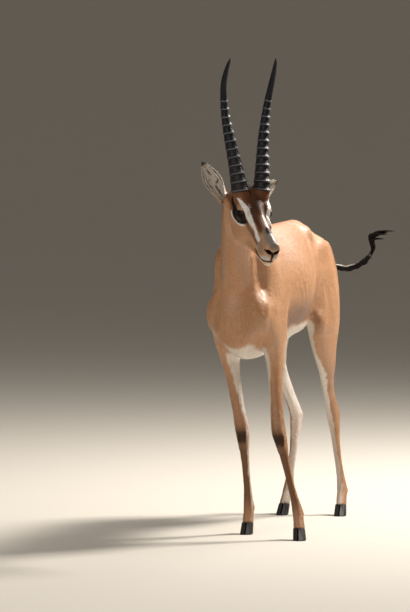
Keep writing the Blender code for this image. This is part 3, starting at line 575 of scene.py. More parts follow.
def add_colours(mesh, colours):
    """Give every point of a mesh its colour."""
    layer = mesh.color_attributes.new("Coat", "FLOAT_COLOR", "POINT")
    full = np.concatenate([colours, np.ones((len(colours), 1))], axis=1)
    layer.data.foreach_set("color", full.astype(np.float32).ravel())


def wall_triangles(low, high):
    """Triangles between rings of points and the next rings up, closed round."""
    right, top = np.roll(low, -1, axis=1), np.roll(high, -1, axis=1)
    return np.concatenate([np.stack([low, right, top], axis=-1).reshape(-1, 3),
                           np.stack([low, top, high], axis=-1).reshape(-1, 3)])


def face_outwards(mesh, weld=0.0):
    """Turn a closed mesh's faces outwards, and weld points that lie closer than a distance."""
    bm = bmesh.new()
    bm.from_mesh(mesh)
    if weld:
        bmesh.ops.remove_doubles(bm, verts=bm.verts, dist=weld)
        bmesh.ops.dissolve_degenerate(bm, edges=bm.edges, dist=weld)
    bmesh.ops.recalc_face_normals(bm, faces=bm.faces)
    bm.to_mesh(mesh)
    bm.free()


def strand_triangles(sections, sides):
    """Triangles of one strand: its foot, its walls and its tip."""
    made = [(0, k + 1, k) for k in range(1, sides - 1)]
    for section in range(sections - 2):
        start = section * sides
        for k in range(sides):
            a, b = start + k, start + (k + 1) % sides
            made += [(a, b, b + sides), (a, b + sides, a + sides)]
    last = (sections - 2) * sides
    made += [(last + k, last + (k + 1) % sides, last + sides) for k in range(sides)]
    return np.array(made)


def strands(name, centres, half_widths, flats, colours, uvs=None, thickness=0.4, sides=3, blend=0.0):
    """Many tapering strands as one mesh; `flats` say which way each one's flat side faces.

    With a blend, they are shaded partly as if they were the surface that they lie on.
    """
    count, sections, _ = centres.shape
    ways = unit(np.gradient(centres, axis=1))
    across = unit(np.cross(ways, flats[:, None, :]))
    rise = np.cross(across, ways)
    angles = math.pi / 2 + 2 * math.pi * np.arange(sides) / sides
    wide = half_widths[:, :, None, None]
    around = (across[:, :, None] * np.cos(angles)[:, None]
              + rise[:, :, None] * (thickness * np.sin(angles))[:, None])
    rings = centres[:, :, None] + around * wide
    body = rings[:, :-1].reshape(count, -1, 3)
    points = np.concatenate([body, centres[:, -1:]], axis=1)
    per_strand = points.shape[1]
    template = strand_triangles(sections, sides)
    triangles = (template[None] + (np.arange(count) * per_strand)[:, None, None]).reshape(-1, 3)
    shades = np.repeat(colours, sides, axis=1)[:, :per_strand]
    if uvs is not None:
        ring = np.stack([np.cos(angles), np.sin(angles)], axis=1)
        patch = MAP_PATCH * np.concatenate([np.tile(ring, (sections - 1, 1)), [[0.0, 0.0]]])
        uvs = (uvs[:, None] + patch[None]).reshape(-1, 2)
    obj = mesh_from(name, points.reshape(-1, 3), triangles, shades.reshape(-1, 3), uvs)
    if blend > 0:
        own = np.concatenate([unit(around[:, :-1]).reshape(count, -1, 3), ways[:, -1:]], axis=1)
        shown = unit(own * (1 - blend) + flats[:, None] * blend)
        obj.data.normals_split_custom_set_from_vertices(shown.reshape(-1, 3))
    return obj


# Horns, from the root up: rise, lean back, splay, half width and half depth.
HORN_ROOT = (0.0335, 0.205, 0.084)
HORN = (
    (-0.008, -0.001, -0.001, 0.0235, 0.0277),
    (0.000, 0.000, 0.000, 0.0230, 0.0270),
    (0.070, 0.013, 0.008, 0.0182, 0.0205),
    (0.140, 0.027, 0.018, 0.0148, 0.0160),
    (0.197, 0.034, 0.027, 0.0114, 0.0124),
    (0.253, 0.031, 0.035, 0.0094, 0.0099),
    (0.296, 0.020, 0.040, 0.0084, 0.0088),
    (0.336, 0.001, 0.040, 0.0062, 0.0064),
    (0.358, -0.011, 0.038, 0.0036, 0.0038),
    (0.369, -0.017, 0.036, 0.0008, 0.0008),
)
HORN_SIDES = 72
HORN_STEPS = 420
RINGS = 12
RINGED = (-0.006, 0.271)
RING_HEIGHT = 0.0068
RING_FADE = 0.45
RING_FRONT = 0.5
RING_TILT = 0.10  # of a ring's pitch, by which it is lower at the front
FINE_RINGS = 4  # small ridges within each ring
FINE_RING_HEIGHT = 0.00016
GROOVES = 22
GROOVE_DEPTH = 0.00016
HORN_DARK = np.array((0.007, 0.008, 0.012))
# pale of the rings' crests: partly wear of the horn, partly a painted highlight where light catches their
# fronts
HORN_CREST_WEAR_AND_HIGHLIGHT = np.array((0.24, 0.24, 0.27))
HORN_BROWN = np.array((0.075, 0.046, 0.030))


def ring_profile(t):
    """The height of a ring along its pitch: a steep lower edge and a hollow slope above it."""
    slope = np.exp(-np.maximum(t - 0.14, 0) / 0.20)
    return smooth_step(t, 0.0, 0.14) * slope * (1 - smooth_step(t, 0.75, 1.0))


def add_horn(name, side, rng):
    """A horn with rings that are highest on its front and a smooth tip."""
    rows = np.array(HORN)
    rises = np.linspace(rows[0, 0], rows[-1, 0], HORN_STEPS)
    rows = curve_at(rows, rows[:, 0], rises)
    left, back, _ = HEAD_AXES
    back = unit(back * (1, 1, 0))
    root = from_head(np.array(HORN_ROOT) * (side, 1, 1))
    centres = root + rows[:, :1] * (0, 0, 1) + rows[:, 1:2] * back + rows[:, 2:3] * (side * left)
    ways = unit(np.gradient(centres, axis=0))
    across = unit(left - ways * (ways @ left)[:, None])
    front = np.cross(across, ways)
    front *= -np.sign(front @ back)[:, None]
    angles = 2 * math.pi * np.arange(HORN_SIDES) / HORN_SIDES
    pitch = (RINGED[1] - RINGED[0]) / RINGS
    tilt = RING_TILT * np.sin(angles)
    at = (rises[:, None] - RINGED[0]) / pitch + tilt
    ring = np.floor(at)
    waves = rng.uniform(0.8, 1.15, RINGS + 4)[np.clip(ring, 0, RINGS + 3).astype(int)]
    fade = np.clip(1 - RING_FADE * ring / RINGS, 0, 1)
    ringed = (at >= 0) & (at < RINGS)
    profile = ring_profile(at - ring) * ringed
    swell = RING_HEIGHT * profile * fade * waves * (1 - RING_FRONT + RING_FRONT * np.sin(angles))
    tip = smooth_step(rises, 0.26, 0.30)[:, None]
    grooves = np.sin(GROOVES * angles + 3 * np.sin(1.7 * ring)) + 0.6 * np.sin(9 * angles + 5 * ring)
    swell += GROOVE_DEPTH * (1 - tip) * grooves * (0.4 + 0.6 * profile)
    fine = np.sin(2 * math.pi * FINE_RINGS * at + 0.5 * np.sin(5 * angles) + 0.3 * np.sin(11 * angles))
    swell += FINE_RING_HEIGHT * fine * (1 - tip) * (1 - smooth_step(rises, 0.12, 0.24))[:, None]
    swell = np.minimum(swell, rows[:, 3:4])
    points = (centres[:, None] + across[:, None] * ((rows[:, 3:4] + swell) * np.cos(angles))[..., None]
              + front[:, None] * ((rows[:, 4:5] + swell) * np.sin(angles))[..., None])
    # pale crests, strongest on the rings' fronts: partly wear, partly a painted highlight
    crest_wear_and_highlight = smooth_step(profile, 0.45, 0.95) * np.clip(0.25 + 0.75 * np.sin(angles), 0, 1)
    low = (1 - smooth_step(rises, 0.03, 0.16))[:, None] * np.clip(0.3 + 0.7 * fine, 0, 1) * (1 - crest_wear_and_highlight)
    colours = HORN_DARK + (HORN_CREST_WEAR_AND_HIGHLIGHT - HORN_DARK) * (0.6 * crest_wear_and_highlight * (1 - tip))[..., None]
    colours = colours + (HORN_BROWN - colours) * (0.40 * low)[..., None]
    grid = np.arange(HORN_STEPS * HORN_SIDES).reshape(HORN_STEPS, HORN_SIDES)
    walls = wall_triangles(grid[:-1], grid[1:])
    foot = np.stack([np.full(HORN_SIDES - 2, grid[0, 0]), grid[0, 2:], grid[0, 1:-1]], axis=-1)
    end = np.stack([np.full(HORN_SIDES - 2, grid[-1, 0]), grid[-1, 1:-1], grid[-1, 2:]], axis=-1)
    triangles = np.concatenate([walls, foot, end])
    horn = mesh_from(f"horn_shell_{name}", points.reshape(-1, 3), triangles, colours.reshape(-1, 3))
    horn.data.materials.append(look("horn"))
    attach(horn, "root")
    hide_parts(f"horn_{name}")


# Eyes
EYE_SEGMENTS, EYE_RINGS = 64, 48
IRIS_HALF_ANGLE = math.radians(47)
PUPIL = (0.42, 0.26)  # half length and half height, against the iris
IRIS_COLOUR = np.array((0.016, 0.008, 0.005))
PUPIL_COLOUR = np.array((0.002, 0.002, 0.003))
SCLERA_COLOUR = np.array((0.012, 0.008, 0.006))
LID_RIM = 0.0013
LID_RIM_STEPS, LID_RIM_SIDES = 112, 10
LID_RIM_PLACE = (0.0003, 0.0008)  # beyond the opening and out from the eyeball
LID_COLOUR = np.array((0.010, 0.008, 0.008))


def add_eye(name, side):
    """A dark eyeball with a level pupil."""
    out = eye_axes(side)[0]
    polar = np.linspace(0.0, math.pi, EYE_RINGS + 1)[:, None]
    turn = 2 * math.pi * np.arange(EYE_SEGMENTS) / EYE_SEGMENTS
    level = np.array((0.0, 0.0, 1.0))
    ahead = np.cross(level, out) * side
    ways = (np.cos(polar)[..., None] * out
            + np.sin(polar)[..., None] * (np.cos(turn)[:, None] * ahead + np.sin(turn)[:, None] * level))
    iris = np.tile(polar / IRIS_HALF_ANGLE, (1, EYE_SEGMENTS))
    oval = np.hypot(iris * np.cos(turn) / PUPIL[0], iris * np.sin(turn) / PUPIL[1])
    colours = SCLERA_COLOUR + (IRIS_COLOUR - SCLERA_COLOUR) * (1 - smooth_step(iris, 0.85, 1.0))[..., None]
    colours = colours + (PUPIL_COLOUR - colours) * (1 - smooth_step(oval, 0.92, 1.08))[..., None]
    points = from_head(EYE * (side, 1, 1) + ways * EYE_RADIUS)
    grid = np.arange((EYE_RINGS + 1) * EYE_SEGMENTS).reshape(EYE_RINGS + 1, EYE_SEGMENTS)
    triangles = wall_triangles(grid[:-1], grid[1:])
    ball = mesh_from(f"eyeball_{name}", points.reshape(-1, 3), triangles, colours.reshape(-1, 3))
    face_outwards(ball.data, weld=1e-7)
    ball.data.materials.append(look("eye"))
    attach(ball, "root")
    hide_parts(f"eye_{name}")


def lid_points(side, places, beyond=0.0, lift=0.0):
    """World points of the lids' edge, from the rear corner over the top to the front and back below."""
    out, along, up = eye_axes(side)
    across = -np.cos(places) * (LID_HALF_LENGTH + beyond)
    upper, lower = lid_edge(across * LID_HALF_LENGTH / (LID_HALF_LENGTH + beyond))
    over = np.where(np.sin(places) >= 0, upper + beyond, -lower - beyond)
    over = np.where(np.abs(np.sin(places)) < 1e-6, 0, over)
    ways = (np.sin(across / EYE_RADIUS)[:, None] * along + np.sin(over / EYE_RADIUS)[:, None] * up
            + (np.cos(across / EYE_RADIUS) * np.cos(over / EYE_RADIUS))[:, None] * out)
    return from_head(EYE * (side, 1, 1) + unit(ways) * (EYE_RADIUS + lift))


def add_lid_rim(name, side):
    """The black edge of the lids, as one closed ring."""
    count, sides = LID_RIM_STEPS, LID_RIM_SIDES
    places = 2 * math.pi * np.arange(count) / count
    centres = lid_points(side, places, *LID_RIM_PLACE)
    ways = unit(np.roll(centres, -1, axis=0) - np.roll(centres, 1, axis=0))
    outward = unit(centres - from_head(EYE * (side, 1, 1)))
    across = unit(np.cross(ways, outward))
    angles = 2 * math.pi * np.arange(sides) / sides
    points = centres[:, None] + LID_RIM * (across[:, None] * np.cos(angles)[:, None]
                                           + outward[:, None] * np.sin(angles)[:, None])
    grid = np.arange(count * sides).reshape(count, sides)
    triangles = wall_triangles(grid, np.roll(grid, -1, axis=0))
    colours = np.tile(LID_COLOUR, (count * sides, 1))
    rim = mesh_from(f"lid_rim_{name}", points.reshape(-1, 3), triangles, colours)
    face_outwards(rim.data)
    rim.data.materials.append(look("bare"))
    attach(rim, "root")


# Tail hair, in body places: centre, half width and half depth of the tuft's core, then its locks.
TUFT = (
    (0.147, 0.598, 0.784, 0.0075, 0.0068),
    (0.154, 0.605, 0.798, 0.0072, 0.0066),
    (0.153, 0.610, 0.811, 0.0062, 0.0060),
    (0.147, 0.614, 0.825, 0.0072, 0.0065),
    (0.148, 0.615, 0.838, 0.0090, 0.0078),
    (0.161, 0.614, 0.847, 0.0090, 0.0068),
    (0.178, 0.611, 0.851, 0.0070, 0.0048),
    (0.204, 0.606, 0.856, 0.0022, 0.0016),
)
# Root, bend and tip of each lock, and its half width and half thickness at the bend.
TAIL_LOCKS = (
    ((0.070, 0.550, 0.745), (0.090, 0.560, 0.739), (0.118, 0.578, 0.752), 0.0060, 0.0032),
    ((0.094, 0.562, 0.744), (0.114, 0.575, 0.747), (0.138, 0.592, 0.767), 0.0060, 0.0032),
    ((0.116, 0.577, 0.753), (0.136, 0.590, 0.761), (0.1475, 0.5975, 0.7815), 0.0050, 0.0028),
)
TUFT_LOCKS = (
    ((0.149, 0.601, 0.790), (0.1585, 0.608, 0.803), (0.158, 0.613, 0.828), 0.0055, 0.0036),
    ((0.152, 0.611, 0.812), (0.153, 0.610, 0.830), (0.193, 0.604, 0.836), 0.0070, 0.0038),
    ((0.146, 0.612, 0.824), (0.146, 0.607, 0.842), (0.207, 0.596, 0.849), 0.0075, 0.0038),
    ((0.147, 0.616, 0.826), (0.152, 0.622, 0.847), (0.215, 0.612, 0.862), 0.0075, 0.0038),
    ((0.148, 0.614, 0.832), (0.164, 0.612, 0.851), (0.229, 0.602, 0.861), 0.0075, 0.0038),
)
GUIDE_STEPS = 60
LOCK_TIP = 0.0008
TAIL_HAIR_WIDTH = 0.0011
TAIL_HAIR_TAPER = (0.75, 1.0, 1.0, 0.95, 0.9, 0.8, 0.62, 0.4, 0.0)
TAIL_HAIR_SECTIONS = len(TAIL_HAIR_TAPER)
TAIL_HAIR_COLOUR = np.array((0.014, 0.011, 0.010))


def read_between(rows, low, share):
    """Rows read between whole places and the next ones."""
    return rows[low] * (1 - share) + rows[low + 1] * share


def guide_strands(rows, count, rng, first, last):
    """Centre lines of hairs that run along a guide of points and sizes, inside its section."""
    fine = spline(rows, GUIDE_STEPS)
    ways = unit(np.gradient(fine[:, :3], axis=0))
    across = unit(np.cross(ways, (0.2, 0.3, 1.0)))
    rise = np.cross(across, ways)
    start = rng.uniform(*first, count)
    end = rng.uniform(*last, count)
    t = start[:, None] + (end - start)[:, None] * np.linspace(0, 1, TAIL_HAIR_SECTIONS)
    index = np.clip(t * (GUIDE_STEPS - 1), 0, GUIDE_STEPS - 1)
    low = np.minimum(index.astype(int), GUIDE_STEPS - 2)
    share = (index - low)[..., None]
    middles, aside, over = (read_between(rows, low, share) for rows in (fine, across, rise))
    angle = rng.uniform(0, 2 * math.pi, count)[:, None] + t * rng.uniform(-0.8, 0.8, count)[:, None]
    away = np.sqrt(rng.uniform(0, 1, count))[:, None] * 0.85
    offset = (aside * (away * np.cos(angle) * middles[..., 3])[..., None]
              + over * (away * np.sin(angle) * middles[..., 4])[..., None])
    return middles[..., :3] + offset


EAR_HAIRS = 150
EAR_HAIR_WIDTH = 0.00055
EAR_HAIR_TAPER = (0.7, 1.0, 0.9, 0.75, 0.5, 0.0)
EAR_HAIR_SECTIONS = len(EAR_HAIR_TAPER)
EAR_WALL = 0.0030  # of an ear's half width and depth, that its wall takes up


def add_ear_hair(name, side, rng):
    """Pale hair that rises from the inner edges of an ear's cup and lies towards its tip."""
    reach, _, front, across = ear_axes(name)
    along = rng.uniform(0.12, 0.62, EAR_HAIRS)
    edge = np.where(rng.uniform(size=EAR_HAIRS) < 0.85, -side, side)
    reach_in = rng.uniform(0.10, 0.34, EAR_HAIRS)
    t = np.linspace(0, 1, EAR_HAIR_SECTIONS)
    place = along[:, None] + t * rng.uniform(0.14, 0.26, EAR_HAIRS)[:, None]
    spread = np.radians(table_at(EAR, place, 3))
    turn = edge[:, None] * spread * (0.97 - reach_in[:, None] * (0.15 + t**0.8))
    shrink = 0.93 - 0.16 * np.sin(math.pi * t**0.8)
    wide, deep = (table_at(EAR, place, column) * shrink - EAR_WALL for column in (1, 2))
    centres = (from_head(EARS[name][0]) + place[..., None] * reach
               + (np.sin(turn) * wide)[..., None] * across - (np.cos(turn) * deep)[..., None] * front)
    widths = EAR_HAIR_WIDTH * rng.uniform(0.7, 1.2, EAR_HAIRS)[:, None] * np.array(EAR_HAIR_TAPER)
    shade = (CREAM * 0.5 + WHITE * 0.5) * rng.uniform(0.75, 1.05, EAR_HAIRS)[:, None, None]
    colours = np.broadcast_to(shade, (EAR_HAIRS, EAR_HAIR_SECTIONS, 3))
    flats = np.tile(front, (EAR_HAIRS, 1))
    roots = np.stack([turn[:, 0] / 6 + 0.5, along], axis=1)
    hair = strands(f"ear_hair_{name}", centres, widths, flats, colours, roots, 0.7, 4)
    hair.data.materials.append(look("coat"))
    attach(hair, "root")


def add_tail_hair(rng):
    """The black tuft at the tail's end, as many fine locks."""
    lines = [guide_strands(TUFT, 170, rng, (0.0, 0.55), (0.62, 1.0))]
    for locks, hairs, first, last in ((TUFT_LOCKS, 46, (0.0, 0.25), (0.72, 1.0)),
                                      (TAIL_LOCKS, 40, (0.0, 0.3), (0.7, 1.0))):
        for root, bend, tip, wide, thick in locks:
            rows = ((*root, wide * 0.8, thick), (*bend, wide, thick), (*tip, LOCK_TIP, LOCK_TIP))
            lines.append(guide_strands(rows, hairs, rng, first, last))
    centres = np.concatenate(lines) + BODY_ORIGIN
    count = len(centres)
    widths = TAIL_HAIR_WIDTH * rng.uniform(0.7, 1.2, count)[:, None] * np.array(TAIL_HAIR_TAPER)
    shade = TAIL_HAIR_COLOUR * rng.uniform(0.6, 1.7, count)[:, None, None]
    colours = np.broadcast_to(shade, (count, TAIL_HAIR_SECTIONS, 3))
    flats = unit(rng.normal(size=(count, 3)))
    roots = np.stack([rng.uniform(0.05, 0.95, count), np.linspace(0.05, 0.95, count)], axis=1)
    hair = strands("tail_hair", centres, widths, flats, colours, roots, 0.8, 4)
    hair.data.materials.append(look("coat"))
    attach(hair, "root")
    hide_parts("tail_tuft")


# Colours, as the light that each throws back
TAN = np.array((0.47, 0.238, 0.114))
BACK_TAN = np.array((0.42, 0.205, 0.098))
FLANK_BROWN = np.array((0.17, 0.082, 0.042))
CHESTNUT = np.array((0.125, 0.046, 0.019))
DARK_BROWN = np.array((0.055, 0.026, 0.014))
BLACK = np.array((0.010, 0.008, 0.008))
WHITE = np.array((0.80, 0.77, 0.72))
CREAM = np.array((0.66, 0.55, 0.43))
NOSE_GREY = np.array((0.22, 0.175, 0.135))
EAR_BACK = np.array((0.34, 0.22, 0.135))
# painted highlight: pale pink sheen along the ridge of the nose
BRIDGE_HIGHLIGHT_PINK = np.array((0.70, 0.48, 0.36))
# painted shade: a darker, warmer copy of WHITE for the belly and the legs' insides, as if in shade and lit
# warmly from below
SHADED_BELLY_WHITE = np.array((0.68, 0.60, 0.53))

# Height of the line up to which the body is white below, by y.
BELLY_LINE = ((-0.45, 0.562), (-0.40, 0.556), (-0.30, 0.552), (-0.22, 0.562), (-0.14, 0.594), (0.0, 0.602),
              (0.16, 0.606), (0.24, 0.625), (0.34, 0.62), (0.50, 0.58))
CARPUS_Z = 0.285  # where the dark patch on the front of a foreleg's knee stands

# Strokes on the head: mirrored places with half widths.
PALE_STRIPE = (
    (0.0470, 0.186, 0.0720, 0.0022), (0.0425, 0.169, 0.0672, 0.0042), (0.0359, 0.1385, 0.0594, 0.0075),
    (0.0282, 0.1237, 0.0401, 0.0080), (0.0275, 0.0927, 0.0326, 0.0052), (0.0236, 0.0701, 0.0157, 0.0055),
    (0.0239, 0.0510, 0.0119, 0.0060),
)
EYE_PATCH = (
    (0.0408, 0.2203, 0.0510, 0.0030), (0.0460, 0.200, 0.0440, 0.0100), (0.0470, 0.176, 0.0360, 0.0150),
    (0.0400, 0.143, 0.0290, 0.0125), (0.0350, 0.132, 0.0240, 0.0065),
)
EYE_BELOW = (
    (0.0465, 0.188, 0.0290, 0.0085), (0.0465, 0.172, 0.0210, 0.0100), (0.0430, 0.155, 0.0165, 0.0082),
    (0.0385, 0.142, 0.0175, 0.0068), (0.0350, 0.133, 0.0230, 0.0060),
)
PALE_RING = (
    (0.0462, 0.198, 0.0190, 0.0026), (0.0479, 0.189, 0.0130, 0.0034), (0.0469, 0.178, 0.0085, 0.0036),
    (0.0437, 0.165, 0.0050, 0.0036), (0.0405, 0.155, 0.0045, 0.0034), (0.0372, 0.143, 0.0070, 0.0030),
    (0.0335, 0.131, 0.0125, 0.0020),
)
LID_BLACK = 0.0042  # reach of the black beyond the lids
# How far from the middle the dark of the face reaches, by place along the head.
BLAZE_EDGE = (
    (0.045, 0.018), (0.070, 0.020), (0.093, 0.024), (0.124, 0.026), (0.139, 0.031), (0.170, 0.040),
    (0.190, 0.047), (0.220, 0.050),
)
DARK_STRIPE = (
    (0.0345, 0.131, 0.0225, 0.0060), (0.0300, 0.1092, 0.0175, 0.0090), (0.0265, 0.0825, 0.0090, 0.0080),
    (0.0240, 0.0580, -0.0020, 0.0055),
)
NOSE_SPOT = ((0.0, 0.060, 0.0405, 0.0075), (0.0, 0.049, 0.0370, 0.0085))
NOSE_TOP = ((0.0, 0.043, 0.0330, 0.0180), (0.0, 0.020, 0.0260, 0.0190), (0.0, 0.008, 0.0180, 0.0150))
NOSTRIL = (
    (0.0200, 0.0090, 0.0050, 0.0042), (0.0110, 0.0030, 0.0010, 0.0060), (0.0020, 0.0000, -0.0030, 0.0045),
)
NOSTRIL_INSIDE = ((0.0160, 0.0110, 0.0050, 0.0062), (0.0090, 0.0080, 0.0020, 0.0065))
PHILTRUM = ((0.0, 0.0, -0.0040, 0.0042), (0.0, 0.0, -0.0200, 0.0026), (0.0, 0.004, -0.0300, 0.0030))
NOSE_SIDE = ((0.0180, 0.0550, 0.0080, 0.0120), (0.0200, 0.0300, -0.0020, 0.0170))
LIP = ((0.0140, 0.0060, -0.0190, 0.0100), (0.0180, 0.0200, -0.0230, 0.0070))
CHIN = ((0.0, 0.0120, -0.0420, 0.0120), (0.0100, 0.0350, -0.0450, 0.0110), (0.0, 0.0800, -0.0500, 0.0120))


def mixed(first, second, share):
    """A blend of colours by a share for each row."""
    return first + (second - first) * np.asarray(share)[:, None]


def washed(colours, washes):
    """Colours after one wash after another, each a colour and a share for each row."""
    for colour, share in washes:
        colours = mixed(colours, colour, share)
    return colours


def stroke(places, path, soft=0.25):
    """How much of a soft-edged stroke each place gets."""
    return np.max([1 - smooth_step(distance / wide, 1 - soft, 1 + soft)
                   for distance, wide in path_distances(places, path)], axis=0)


def wobble(points, size, seed):
    """Smooth noise between about -1 and 1 with patches of a size."""
    rng = np.random.default_rng(seed)
    total = np.zeros(len(points))
    for _ in range(6):
        way = rng.normal(size=3)
        total += np.sin(points @ way / size + rng.uniform(0, 2 * math.pi))
    return total / 6 * 1.6


def head_colours(points, _):
    """The face's markings and a painted highlight along the nose's ridge, none of which hang on the way that
    the skin faces.
    """
    places = to_head(points)
    x, s, u = np.abs(places[:, 0]), places[:, 1], places[:, 2]
    mirrored = folded(places)
    top = smooth_step(u - 0.30 * s, -0.004, 0.016)
    grain = wobble(points, 0.0035, 11)
    amid = 1 - smooth_step(x - table_at(BLAZE_EDGE, s), -0.003, 0.003)
    blaze = amid * smooth_step(s, 0.045, 0.075) * smooth_step(u, 0.012, 0.030)
    crown = plateau(s, 0.150, 0.180, 0.235, 0.265) * smooth_step(u, 0.030, 0.056)
    centre = bell(x, 0.026) * bell(s - 0.145, 0.034) * top
    sides = bell(x - 0.0165, 0.008) * plateau(s, 0.050, 0.070, 0.125, 0.15) * top
    # painted highlight: a pale pink streak along the nose's ridge, standing for sheen on the hair
    bridge_highlight = bell(x + 0.0012 * grain, 0.0065) * plateau(s, 0.056, 0.066, 0.092, 0.118) * top
    beyond, near = around_lids(mirrored, 1)
    lids = near * (1 - smooth_step(beyond, LID_BLACK - 0.0008, LID_BLACK + 0.0008))
    patch = np.maximum(stroke(mirrored, EYE_PATCH, 0.15), stroke(mirrored, EYE_BELOW, 0.15))
    ring = stroke(mirrored, PALE_RING, 0.35)
    mouth = bell(u - table_at(MOUTH, s), 0.0023) * (1 - smooth_step(s, 0.066, 0.076))
    return washed(np.tile(TAN, (len(points), 1)), (
        (CHESTNUT, 0.96 * blaze),
        (CHESTNUT * 1.2, 0.92 * crown),
        (DARK_BROWN * 0.7, 0.9 * centre),
        (DARK_BROWN, 0.6 * sides),
        (BRIDGE_HIGHLIGHT_PINK, np.clip(0.85 * bridge_highlight * (1 + 0.25 * grain), 0, 1)),
        (NOSE_GREY, stroke(mirrored, NOSE_TOP, 0.35)),
        (NOSE_GREY * 1.1, 0.8 * stroke(mirrored, NOSE_SIDE, 0.6)),
        (BLACK * 2, 0.9 * stroke(mirrored, NOSE_SPOT, 0.5)),
        (FLANK_BROWN * 0.8, 0.8 * stroke(mirrored, DARK_STRIPE, 0.6)),
        (WHITE * 0.95, stroke(mirrored, PALE_STRIPE, 0.18)),
        (BLACK, patch * (1 - ring)),
        (WHITE * 0.92, 0.95 * ring),
        (BLACK, lids),
        (WHITE * 0.60, 0.8 * stroke(mirrored, LIP, 0.4)),
        (CREAM * 1.1, 0.85 * stroke(mirrored, CHIN, 0.5)),
        (BLACK, np.clip(1.3 * mouth, 0, 1)),
        (BLACK, stroke(mirrored, NOSTRIL, 0.3)),
        (BLACK, stroke(mirrored, NOSTRIL_INSIDE, 0.3)),
        (BLACK, stroke(mirrored, PHILTRUM, 0.35)),
    ))


def ear_places(points, name):
    """Where points are on an ear: along it, round its cup, and which way is out of it there."""
    reach, forward, front, across = ear_axes(name)
    away = points - from_head(EARS[name][0])
    along = away @ forward / length_of(reach)
    turn = np.arctan2(away @ across / table_at(EAR, along, 1), -(away @ front) / table_at(EAR, along, 2))
    ways = np.sin(turn)[:, None] * across - np.cos(turn)[:, None] * front
    return along, turn, ways


def ear_colours(points, normals):
    """Fawn backs, and pale hollows with dark lines of painted shade and a dark tip."""
    colours = np.tile(EAR_BACK, (len(points), 1))
    for name, side in SIDES:
        own = (to_head(points)[:, 0] * side) > 0
        along, turn, ways = ear_places(points, name)
        outward = (normals * ways).sum(axis=1) + 0.1 * wobble(points, 0.004, 5)
        inside = (1 - smooth_step(outward, -0.25, 0.15)) * own * smooth_step(along, 0.05, 0.16)
        sheet = np.stack([along, -side * turn * EAR_TURN_SCALE, np.zeros(len(along))], axis=1)
        sheet += 0.012 * np.stack([wobble(points, 0.004, 7), wobble(points, 0.004, 8), 0 * along], axis=1)
        # painted shade: dark lines where creases of the cup would lie in shadow
        lines = np.zeros(len(points))
        for path in EAR_CREASE_SHADE_LINES:
            flat = [(at, bend * EAR_TURN_SCALE, 0.0, wide) for at, bend, wide in path]
            lines = np.maximum(lines, stroke(sheet, flat, 0.5))
        rim = bell(outward, 0.35) * own * smooth_step(along, 0.10, 0.20)
        tip = smooth_step(along + 0.03 * wobble(points, 0.004, 6), 0.90, 0.96) * own
        colours = washed(colours, (
            (CREAM * 0.62, inside),
            (DARK_BROWN * 0.4, 0.9 * lines * inside),
            (WHITE * 0.85, 0.55 * rim),
            (DARK_BROWN * 0.6, 0.9 * tip),
        ))
    return colours


def body_colours(points, normals):
    """Tan above, white below, on the rump and between the thighs, a brown band on the flank, and painted
    shade on the front of the thighs.
    """
    places = to_body(points)
    x, y, z = places.T
    side = np.where(x > 0, 1.0, -1.0)
    rough = 0.005 * wobble(points, 0.006, 1)
    inner = -normals[:, 0] * side
    line = table_at(BELLY_LINE, y) + rough
    line += 0.6 * np.maximum(np.abs(x) - 0.03, 0) * (1 - smooth_step(y, -0.36, -0.30))
    above = z - line
    flank = plateau(y, -0.22, -0.14, 0.16, 0.24)
    band = plateau(above, 0.0, 0.012, 0.035, 0.105) * flank
    column = np.maximum(bell(y + 0.27, 0.085), smooth_step(y, 0.13, 0.19))
    column *= smooth_step(np.abs(x), 0.035, 0.05)
    behind = smooth_step(normals[:, 1], 0.2, 0.8) * (y > 0.3)
    facing = smooth_step(inner + 0.25 * behind, 0.10, 0.35)
    white = (1 - smooth_step(above, -0.007, 0.007)) * (1 - column * (1 - facing))
    # painted shade: the front of each thigh, behind the flank and below the hip, browned as if in shadow
    thigh_painted_shade = plateau(y, 0.17, 0.22, 0.30, 0.38) * (1 - smooth_step(z, 0.70, 0.78))
    aside = np.abs(x) + rough
    rump = smooth_step(y, 0.43, 0.455) * (1 - smooth_step(aside, 0.058, 0.068))
    between = smooth_step(y, 0.26, 0.32) * (1 - smooth_step(aside, 0.050, 0.060))
    between *= 1 - smooth_step(z, 0.70, 0.74)
    stripe = smooth_step(y, 0.40, 0.42) * bell(aside - 0.075, 0.010) * plateau(z, 0.60, 0.65, 0.80, 0.84)
    return washed(np.tile(TAN, (len(points), 1)), (
        (BACK_TAN, smooth_step(z, 0.72, 0.86)),
        (FLANK_BROWN, 0.8 * band),
        (FLANK_BROWN, 0.28 * thigh_painted_shade),
        # the belly's white is the darkened white of painted shade
        (SHADED_BELLY_WHITE, white),
        (BLACK * 2, 0.85 * stripe),
        (WHITE * 0.92, np.maximum(rump, between)),
    ))


